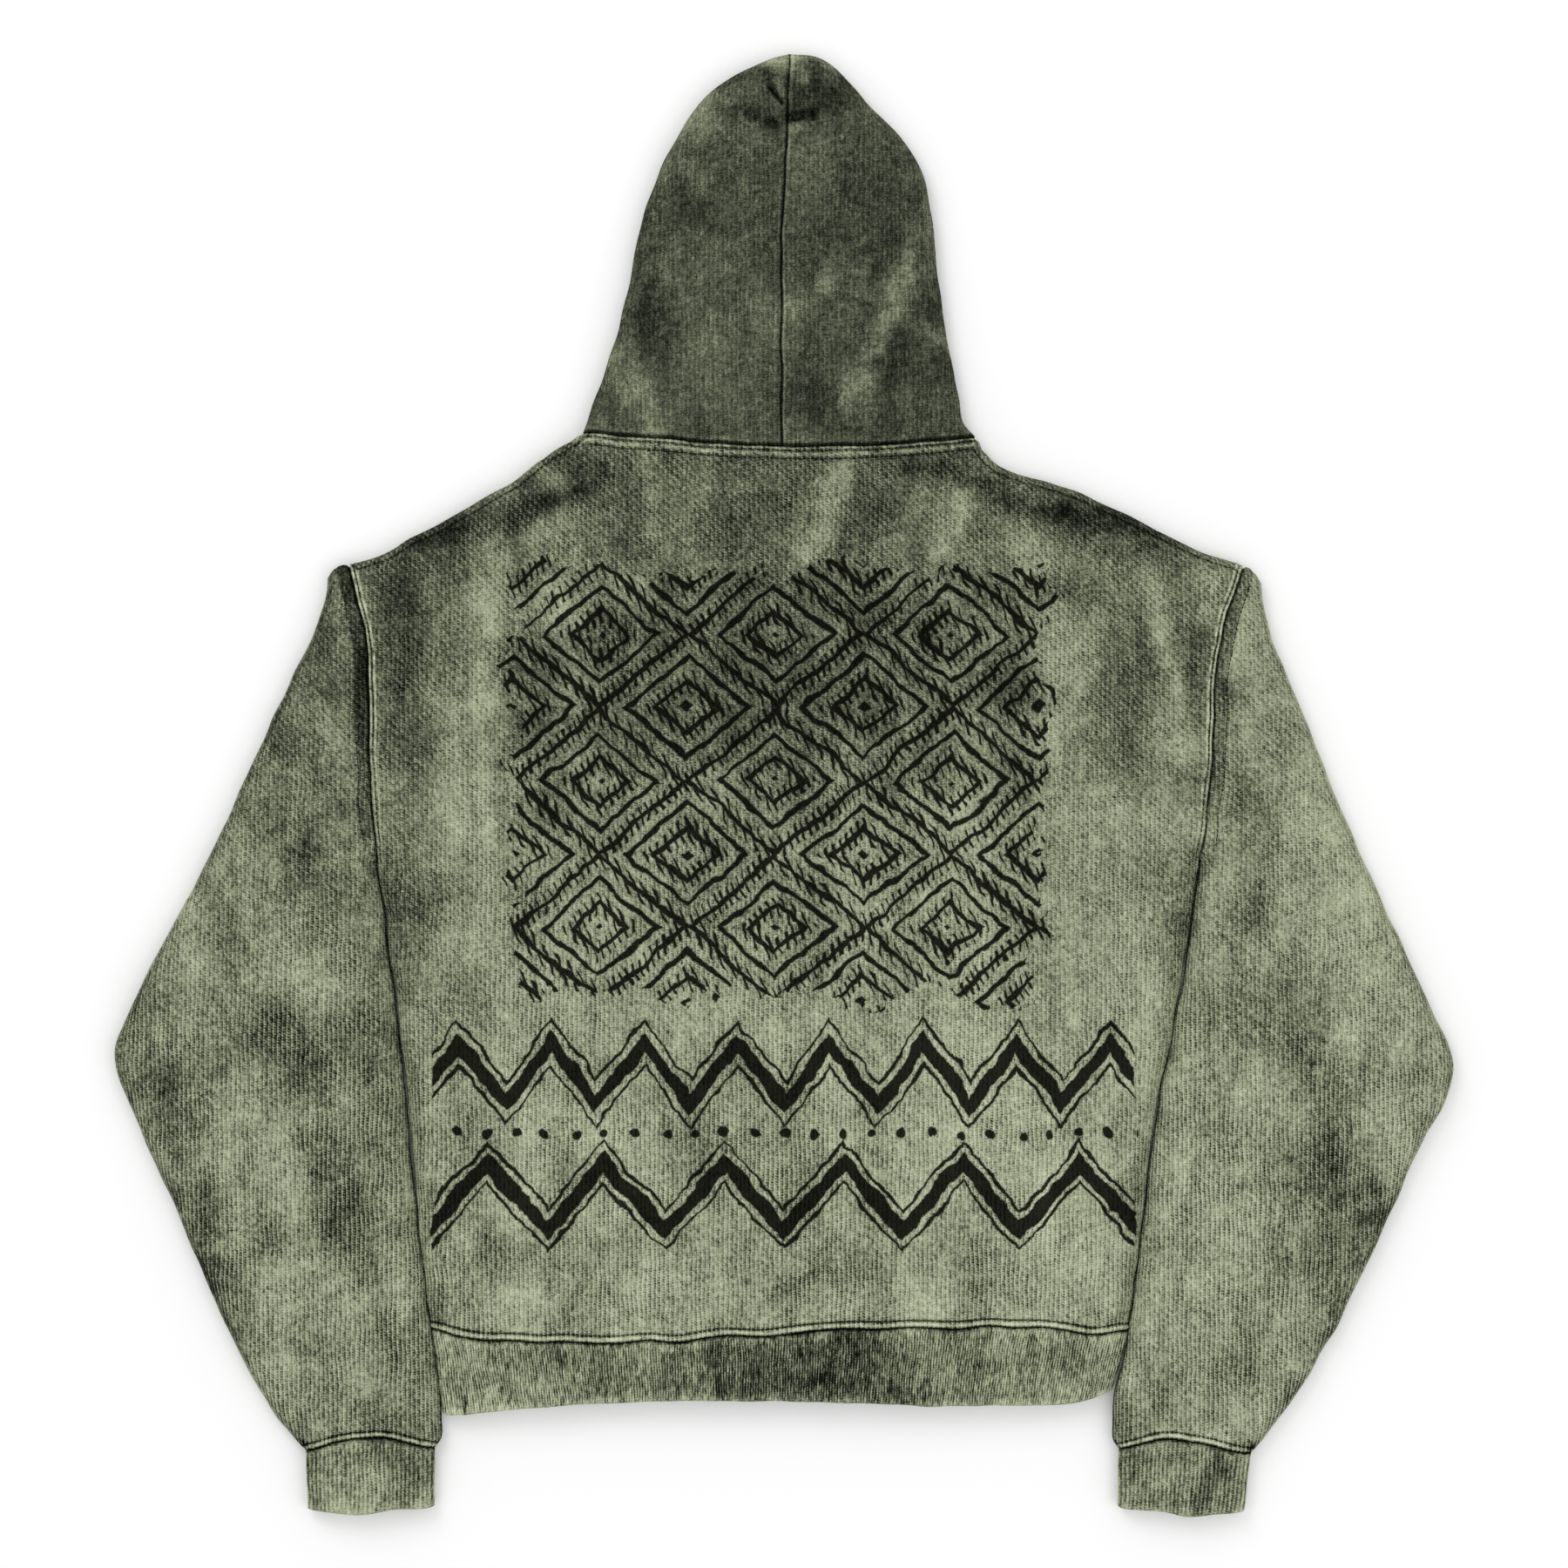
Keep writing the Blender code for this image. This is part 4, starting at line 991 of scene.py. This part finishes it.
def sleeve(side, armhole, out, inn, slope, cuff_seam, marks, level):
    """A sleeve: its grid in plan from the cuff to the armhole, its upper and under layer, its stitching."""
    outward = 1 if side == "left" else -1
    fold = shifted(inn, outward * LAY_GAP / 2)
    inner = np.vstack([along(fold, spaced(430)), along(armhole, spaced(215))[1:]])
    outer = along(out, line_shares(inner))
    outer[-1] = out[-1]
    foot = smooth_line(cuff_seam)
    crest = (out[-1] + armhole[-1]) / 2 + [-1.5 * outward, 2.6]
    cap = smooth_line([out[-1], crest, armhole[-1]])
    plan = patch(foot, cap, outer, inner, np.tile(spaced(150), (len(inner), 1)))
    folds = [np.vstack([out, cap[1:]]), fold, slope]

    def relief(points, upper):
        """Relief of the upper or under layer, none at the two folds."""
        arm, cuff = distance_to(points, armhole), distance_to(points, foot)
        meet = ease(distance_to(points, out, fold) / FOLD_REACH)
        if not upper:
            slow = 0.8 * np.abs(waves(points, 70, 64)) + 0.35 * np.abs(waves(points, 28, 65))
            return -meet * (slow + 1.4 * hill(arm, 0, 1) + 1.4 * hill(cuff, 0, 1))
        away = ease(np.minimum(arm, cuff) / 30)
        slow = 0.8 * waves(points, 85, 62) + 0.4 * waves(points, 34, 63)
        return meet * (
            (STREAK_RELIEF * streaks(points, marks) + slow) * away + streaks(points, ELBOW_CREASES)
            + beside_seam(arm, points, [4], 2.6, 0.3, [SLEEVE_ROW])
            + beside_seam(cuff, points, [CUFF_RIDGE], 1.3, 0.8, [CUFF_ROW])
            + 0.8 * gathers(points, foot, 15, 14)
        )

    def height(points, upper):
        """Height of a layer's middle surface over the floor."""
        return laid(points, folds, sleeve_loft(points) if upper else 0.0, upper)

    y = plan[..., 1]
    arm, cuff, edge, inside = (distance_to(plan, line) for line in (armhole, foot, out, fold))
    seam_marks_and_shade = (
        seam_dye(arm, plan, [], 1, [SLEEVE_ROW])
        # Painted shade: a dark strip on the sleeve from the armhole seam to its stitch row, for the valley
        # beside the seam, strongest towards the shoulder.
        - 0.19 * ease((SLEEVE_ROW - arm) / 1.5) * (0.3 + 0.7 * ease((y + 60) / 120))
        + seam_dye(cuff, plan, [CUFF_RIDGE], 1, [CUFF_ROW], 0.22)
        - 0.16 * hill(cuff, 0, 0.9) - 0.22 * hill(cuff, CUFF_ROW, 0.7)
    )
    rims_and_slit_shade = (
        0.07 * (hill(edge, 0, 1.4) - hill(edge, 3, 1.6) - hill(edge, 3, 10) * ease((-240 - y) / 70))
        # Painted shade: darker along the inner fold and darkest in the slit where the sleeve lies against the
        # body below the armpit.
        - 0.05 * hill(inside, 0, 4) - 0.3 * hill(inside, 0, 0.7) * ease((-40 - y) / 30)
    )
    top = level(y) + streaks(plan, marks) + 0.035 * waves(plan, 55, 66) + seam_marks_and_shade + rims_and_slit_shade
    blend = ease(np.minimum(edge, inside) / 25)
    under = blend * (under_dye(plan, level(y), 67) + seam_marks_and_shade) + (1 - blend) * top
    rows = [beside(armhole, outward * SLEEVE_ROW, 0.06, 0.95), beside(foot, outward * CUFF_ROW, 0.05, 0.95)]
    folded_cloth(
        "sleeve", side, {True: (plan, FLEECE, top), False: (plan, FLEECE, under)}, height, relief,
        [(row, upper) for upper in (True, False) for row in rows], fleece)


def left_sleeve_level(y):
    """Dye of the left sleeve: dark at the shoulder, paler from the upper arm down, darker at the elbow."""
    return 0.385 + 0.165 * ease((70 - y) / 170) - 0.135 * hill(y, -200, 90)


def right_sleeve_level(y):
    """Dye of the right sleeve: even, a little darker round the elbow."""
    return 0.59 - 0.065 * hill(y, -190, 100)


left_sleeve_in = smooth_line([CUFF_SEAM_LEFT[-1], *SLEEVE_IN_LEFT[::-1], ARMPIT_LEFT])
right_sleeve_in = smooth_line([CUFF_SEAM_RIGHT[-1], *SLEEVE_IN_RIGHT[::-1], ARMPIT_RIGHT])
sleeve("left", left_armhole, left_sleeve_out, left_sleeve_in, left_slope, CUFF_SEAM_LEFT,
       LEFT_SLEEVE_STREAKS, left_sleeve_level)
sleeve("right", right_armhole, right_sleeve_out, right_sleeve_in, right_slope, CUFF_SEAM_RIGHT,
       RIGHT_SLEEVE_STREAKS, right_sleeve_level)


# ------------------------------------------------------------------ hood
# The hood is two shaped halves of fleece lined with the same cloth, joined by one seam from the neck
# over the crown. It lies face down, so its opening is on the underside, turned in and stitched.

HOOD_CLOTH = 4.5
CROWN_GAP = 0.06
HOOD_SEAM = [(-2, 330), (-1, 400), (3, 480)]
FOREHEAD = (3, 460)
FACE_LEFT = [(-34, 440), (-55, 388), (-58, 325), (-44, 250)]
FACE_RIGHT = [(38, 440), (56, 388), (56, 325), (40, 250)]
FACE_FOOT_HALF_GAP = 6.0
FACE_ROUND = 2.2
CROWN_ROWS = (0.66, 0.9, 44)
FACE_ROWS = (9.0, 22.0)
HOOD_ROW = 1.6
HOOD_DYE = 0.315
HOOD_UNDER_DYE = 0.34
JOIN_DYE = {"left": -0.02, "right": 0.1}

# Wash streaks of the hood's back half. The pale strokes from (-52, 488) to (-70, 464) and from (-90, 436) to
# (-86, 418) run along the upper left outline and are painted highlight on the rim facing the key light.
HOOD_STREAKS_AND_RIM_HIGHLIGHT = [
    (-8, 519, 28, 513, 7, 0.12), (-52, 488, -70, 464, 8, 0.09), (-90, 436, -86, 418, 4, 0.09),
    (24, 507, 38, 490, 8, -0.08), (-82, 423, -40, 390, 9, -0.07), (-76, 386, -76, 380, 6, 0.06),
    (-102, 372, -96, 314, 11, -0.06), (-52, 362, -20, 290, 26, 0.03), (-123, 302, -90, 265, 10, 0.12),
    (-90, 265, -92, 249, 8, 0.1), (-90, 288, -85, 276, 6, -0.05), (86, 375, 74, 329, 6, 0.12),
    (74, 329, 62, 307, 6, 0.11), (54, 289, 47, 264, 8, 0.09), (28, 356, 5, 331, 7, 0.09),
    (13, 438, 13, 426, 14, 0.05), (97, 326, 115, 311, 3, 0.08), (80, 312, 70, 292, 9, -0.06),
    (108, 352, 98, 332, 9, -0.06), (72, 366, 69, 342, 6, -0.05), (98, 434, 106, 372, 7, 0.04),
    (118, 298, 104, 264, 10, -0.04), (12, 272, 44, 252, 12, -0.04), (-30, 400, -10, 420, 18, -0.03),
    (46, 430, 70, 400, 18, -0.03), (-83, 426, -37, 438, 12, 0.035), (-22, 301, 8, 255, 14, 0.03),
    (87, 455, 91, 419, 8, 0.03), (-121, 328, -105, 288, 6, -0.05), (-81, 389, -62, 349, 9, -0.03),
    (87, 374, 79, 347, 7, -0.04),
]
# Painted light at the pinched crown, drawn as streaks: the dark strokes are painted shade in its creases and
# the pale ones are painted highlight on its ridges, where the relief pinch lies.
CROWN_PAINTED_SHADE_AND_HIGHLIGHT = [
    (-10, 495, -2, 484, 1.3, -0.22), (-15, 507, -6, 492, 3, -0.08), (3, 470.5, 12, 472, 1.2, -0.2),
    (3, 474, 20, 477, 3.2, -0.15), (3, 480, 26, 482, 5.5, -0.06), (-30, 478, -6, 467.5, 4.2, -0.13),
    (-44, 479, -14, 474, 7, -0.06), (6, 510, 14, 501, 4, 0.12), (-5, 499, -1, 489, 1.6, 0.1),
    (3, 466, 16, 465, 2.5, 0.05), (10, 492, 40, 486, 9, -0.05), (-30, 512, 10, 517, 4, 0.05),
]
CROWN_PINCH = [
    (-12, 501, -2, 484, 2, -2.6), (3, 472, 20, 475, 2.2, -2.6), (-26, 474, -9, 466, 4, -1.6),
    (-5, 500, 1, 488, 2.4, 1.2), (26, 504, 38, 490, 6, -1), (6, 508, 14, 500, 4, 0.9),
    (6, 466, 22, 464, 4, 0.9),
]
HOOD_KNIT = [
    (0.27, 1.947, 0, 0, 0), (0.15, 3.894, 0, 1.1, 0), (0.16, 0.333, -3.343, 0, 0),
    (0.16, 1.571, 3.33, 0, 0),
]


def hood_panel(side, outline, back_neck_line, front_neck_line, face):
    """Half of the hood: up the back from the neck, over the side fold, and round to the face edge."""
    turn = 1 if side == "left" else -1
    inset = np.array([-turn, 0]) * CROWN_GAP / 2
    outline = np.vstack([outline[:-1], HOOD_APEX + inset])
    seam = smooth_line([back_neck_line[-1], *HOOD_SEAM, HOOD_APEX]) + inset
    crown = smooth_line([HOOD_APEX, FOREHEAD]) + inset
    kept = 1 - FACE_FOOT_HALF_GAP / line_lengths(front_neck_line)[-1]
    front_foot = along(front_neck_line, np.linspace(0, kept, 90))
    edge = smooth_line([front_foot[-1], *face[::-1], crown[-1]])
    feet = {True: np.vstack([back_neck_line[:-1], seam[0]]), False: front_foot}
    inners = {True: seam, False: edge}
    rows = np.union1d(spaced(290), np.linspace(*CROWN_ROWS))
    u = np.tile(spaced(115), (len(rows), 1))
    heads = {True: seam[[-1, -1]], False: crown}
    folds = [left_hood, right_hood, left_slope, right_slope]

    def turned(points):
        """How far the cloth rounds back at the face edge."""
        return HOOD_CLOTH / 2 * (1 - quarter_round(distance_to(points, edge), FACE_ROUND))

    def relief(points, upper):
        """Relief of the back half or the face half, none at the side fold."""
        neck, join = distance_to(points, feet[upper]), distance_to(points, inners[upper])
        meet = ease(distance_to(points, outline) / FOLD_REACH)
        if not upper:
            nip = 0.4 * sum(hill(join, row, ROW_SPREAD) for row in FACE_ROWS)
            slow = 0.5 * np.abs(waves(points, 55, 74))
            return -meet * (slow + nip + 1.4 * hill(neck, 0, 1)) - turned(points)
        away = ease(np.minimum(neck, join) / 25)
        slow = 0.8 * waves(points, 70, 71) + 0.5 * waves(points, 30, 72)
        return meet * (
            (STREAK_RELIEF * streaks(points, HOOD_STREAKS_AND_RIM_HIGHLIGHT) + slow) * away
            + streaks(points, CROWN_PINCH, 0.2)
            + beside_seam(join, points, [2.4], 1.5, 0.5, [])
            + beside_seam(neck, points, [3.4], 1.6, 0.4, [HOOD_ROW])
        )

    def height(points, upper):
        """Height of a layer's middle surface over the floor."""
        return laid(points, folds, body_loft(points) if upper else 0.0, upper)

    def dye_and_painted_light(plan, upper):
        """Colour of the back half: streaked dye, with painted shade and highlight at the pinched crown and
        painted highlight on the upper left rim. Or of the face half: clouded and pale at its edge.
        """
        neck, join = distance_to(plan, feet[upper]), distance_to(plan, inners[upper])
        # The crown's painted shade and highlight and the rim's painted highlight come in with these streaks.
        washed = HOOD_DYE + streaks(plan, HOOD_STREAKS_AND_RIM_HIGHLIGHT) + streaks(plan, CROWN_PAINTED_SHADE_AND_HIGHLIGHT, 0.2)
        if upper:
            return (
                washed + 0.02 * waves(plan, 50, 73) + seam_dye(neck, plan, [3.6], 1.3, [HOOD_ROW], 0.04)
                + JOIN_DYE[side] * hill(join, 1.4, 1.2) - 0.28 * hill(join, 0, 0.7)
            )
        stitched = sum(hill(join, row, ROW_SPREAD) for row in FACE_ROWS)
        blend = ease(distance_to(plan, outline) / 25)
        below = under_dye(plan, HOOD_UNDER_DYE, 75) + 0.08 * hill(join, 0.5, 2) - 0.08 * stitched
        return blend * below + (1 - blend) * washed

    sheets = {}
    for upper in (True, False):
        plan = patch(feet[upper], heads[upper], along(outline, rows), along(inners[upper], rows), u)
        sheets[upper] = plan, HOOD_CLOTH if upper else HOOD_CLOTH - turned(plan), dye_and_painted_light(plan, upper)
    rows = [(beside(feet[True], turn * HOOD_ROW, 0.05, 0.99), True)]
    rows += [(beside(edge, turn * row, 0.03, 0.97), False) for row in FACE_ROWS]
    folded_cloth("hood", side, sheets, height, relief, rows, hood_cloth)


hood_cloth = washed_cloth("washed hood fleece", HOOD_KNIT, contrast=0.13, grain=0.33, cloud=1.1, relief=0.5)
hood_panel("left", left_hood, left_back_neck, left_front_neck, FACE_LEFT)
hood_panel("right", right_hood, right_back_neck, right_front_neck, FACE_RIGHT)


# ------------------------------------------------------------------ hem band and cuffs
# Each band is a strip of ribbed knit, folded double lengthwise and sewn on as a ring, a little stretched.
# The ribs are narrow ridges that run from the seam to the folded edge.

RIB = 4.0
HEM_FOOT_LEFT = (-243.2, -450.5)
HEM_FOOT_RIGHT = (234.3, -433.5)
HEM_FOOT = [(-191, -445.5), (-124, -440.5), (0, -439), (143, -442.5), (218, -438.5)]
CUFF_FOOT_LEFT = [(-340.5, -518), (-321, -519), (-301, -520.5), (-283, -517.5), (-249.5, -515.5)]
CUFF_FOOT_RIGHT = [(328, -520), (307, -520), (289, -521), (267, -518), (238, -516)]
RIB_HEIGHT = 0.34
HEM_RIB_PITCH = 1.95
CUFF_RIB_PITCH = 3.1

HEM_STREAKS = [
    (-226.5, -441, -226, -449, 0.9, -0.35), (-240, -398, -212, -440, 14, 0.09),
    (-30, -396, -28, -432, 10, 0.03), (-30, -420, 70, -420, 34, -0.15), (100, -396, 112, -430, 14, 0.09),
    (160, -400, 190, -428, 22, 0.03), (228, -398, 224, -430, 9, 0.1), (-150, -405, -120, -420, 26, -0.03),
    (-240, -444, -232, -447, 7, 0.16),
]
LEFT_CUFF_STREAKS = [
    (-312, -476, -310, -516, 12, 0.06), (-336, -480, -334, -514, 7, -0.06),
    (-268, -476, -266, -514, 16, -0.05), (-318, -477, -308, -484, 9, -0.05),
]
RIGHT_CUFF_STREAKS = [
    (306, -474, 304, -512, 11, -0.08), (282, -475, 271, -512, 11, -0.04), (248, -476, 248, -512, 8, -0.03),
]
RIB_KNIT = [(0.2, 0.333, -3.343, 0, 0), (0.2, 1.571, 3.33, 0, 0)]
CUFF_KNIT = [(0.26, 0.333, -3.343, 0, 0), (0.26, 1.571, 3.33, 0, 0)]


def ribbed_band(name, node, cloth, seam, foot, marks, level, pitch, steps, height_rows, loft, rib_dye):
    """A doubled band as a flat ring: plan from its seam to its foot, ridges cos(2 pi s / pitch) across.

    Its grid has this many steps to a rib and this many rows. The cloth rounds over at the foot, where both
    skins meet in a half round.
    """
    line = smooth_line(seam)
    length = line_lengths(line)[-1]
    ribs, ends = round(length / pitch), spaced(length)
    share = np.unique(np.round(np.r_[np.linspace(0, 1, ribs * steps + 1), ends[:12], ends[-12:]], 5))
    top, edge = along(line, share), along(smooth_line(foot), share)
    v = spaced(np.linalg.norm(top - edge, axis=1).mean())
    v = np.interp(np.linspace(0, 1, height_rows), np.linspace(0, 1, len(v)), v)[:, None, None]
    plan = (1 - v) * top + v * edge
    depth = np.linalg.norm(plan - top, axis=-1)
    left = np.linalg.norm(plan - edge, axis=-1)
    folds = [np.vstack([2 * f[0] - f[-1], f, 2 * f[-1] - f[0]]) for f in (plan[:, 0], plan[:, -1])]
    ridge = np.cos(2 * np.pi * (share * ribs + 0.12 * waves(plan, 60, 81) / pitch))
    roll = RIB / 2 * (1 - quarter_round(left, RIB / 2))
    fade = ease(depth / 5) * (1 - 0.7 * ease(1 - left / 5))
    slow = 0.5 * waves(plan, 46, 82) * ease(depth / 12)
    tuck = 0.7 * np.cos(2 * np.pi * plan[..., 0] / 17 + 2 * waves(plan, 60, 83)) * np.exp(-depth / 9)
    lift = {True: slow + (tuck - 1.4 * hill(depth, 0, 1)) * ease(left / 8),
            False: -1.2 * hill(depth, 0, 1) - 0.3 * np.abs(slow)}
    side = ease(distance_to(plan, *folds) / 8)
    dye_and_painted_light = (
        level + streaks(plan, marks) + rib_dye * (ridge - 0.2) * fade + 0.03 * waves(plan, 30, 84)
        + 0.10 * hill(left, 0, 6) + 0.06 * hill(depth, 4.5, 2) - 0.34 * hill(depth, 0, 1)
    )
    layers = []
    for upper in (True, False):
        relief = (RIB_HEIGHT * (ridge - 1) * fade + lift[upper]) * side - roll
        height = laid(plan, folds, loft if upper else 0.0, upper)
        layers.append((plan, height, relief, RIB - roll, dye_and_painted_light, upper != (seam[0][0] < seam[-1][0])))
    piece = sewn_cloth(name, node, layers, cloth)


rib_cloth = washed_cloth("washed rib", RIB_KNIT, contrast=0.15, grain=0.62, cloud=1.3, relief=0.3,
                         drag=(1.7, 0.45))
cuff_cloth = washed_cloth("washed cuff rib", CUFF_KNIT, contrast=0.14, grain=0.42, cloud=1.35, relief=0.3,
                          drag=(1.1, 0.75))
ribbed_band("hem_ribbing", "hem_band", rib_cloth, hem_seam - [0, SEAM_GAP / 2],
            [HEM_FOOT_LEFT, *HEM_FOOT, HEM_FOOT_RIGHT], HEM_STREAKS, level=0.5, pitch=HEM_RIB_PITCH, steps=4,
            height_rows=23, loft=HEM_LOFT, rib_dye=0.18)
for side, wrist, foot, marks, level in (
    ("left", CUFF_SEAM_LEFT, CUFF_FOOT_LEFT, LEFT_CUFF_STREAKS, 0.51),
    ("right", CUFF_SEAM_RIGHT, CUFF_FOOT_RIGHT, RIGHT_CUFF_STREAKS, 0.49),
):
    ribbed_band(f"cuff_{side}_ribbing", f"cuff_{side}", cuff_cloth, np.array(wrist) - [0, SEAM_GAP], foot,
                marks, level, pitch=CUFF_RIB_PITCH, steps=6, height_rows=20, loft=CUFF_LOFT, rib_dye=0.12)


# ------------------------------------------------------------------ floor, light and camera
# A plain pale floor under the whole garment, a wide soft light from above the hood's left with a weaker
# one opposite, and a camera that looks straight down.

CAMERA_HEIGHT = 3.115
LENS = 100.0
FLOOR_HALF = 30.0
FLOOR_DROP = 0.5
PAPER = (0.96, 0.96, 0.96, 1)
WHITE = (1, 1, 1, 1)
SKY = 0.86

mesh = bpy.data.meshes.new("floor")
corners = np.array([(-1, -1, 0), (1, -1, 0), (1, 1, 0), (-1, 1, 0)]) * FLOOR_HALF - [0, 0, FLOOR_DROP * MM]
mesh.from_pydata(corners.tolist(), [], [(0, 1, 2, 3)])
floor = bpy.data.objects.new("floor", mesh)
bpy.context.scene.collection.objects.link(floor)
paper = bpy.data.materials.new("pale paper")
paper.use_nodes = True
plugged(paper.node_tree, paper.node_tree.nodes["Principled BSDF"], {"Base Color": PAPER, "Roughness": 0.9})
mesh.materials.append(paper)

world = bpy.data.worlds.new("studio")
bpy.context.scene.world = world
world.use_nodes = True
plugged(world.node_tree, world.node_tree.nodes["Background"], {"Color": WHITE, "Strength": SKY})


def softbox(name, place, size, power):
    """A square area light aimed at the middle of the garment."""
    light = bpy.data.lights.new(name, "AREA")
    light.energy = power
    light.size = size
    lamp = bpy.data.objects.new(name, light)
    lamp.location = place
    away = -np.array(place) / np.linalg.norm(place)
    lamp.rotation_euler = (np.arccos(-away[2]), 0, np.arctan2(away[1], away[0]) - np.pi / 2)
    bpy.context.scene.collection.objects.link(lamp)


softbox("key", (-1.6, 2.2, 2.4), 1.8, 30)
softbox("fill", (2.4, -1.4, 2.6), 2.4, 17)

camera = bpy.data.objects.new("camera", bpy.data.cameras.new("camera"))
camera.data.lens = LENS
camera.location = (0, 0, CAMERA_HEIGHT)
bpy.context.scene.collection.objects.link(camera)
bpy.context.scene.camera = camera
bpy.context.scene.view_settings.view_transform = "Standard"
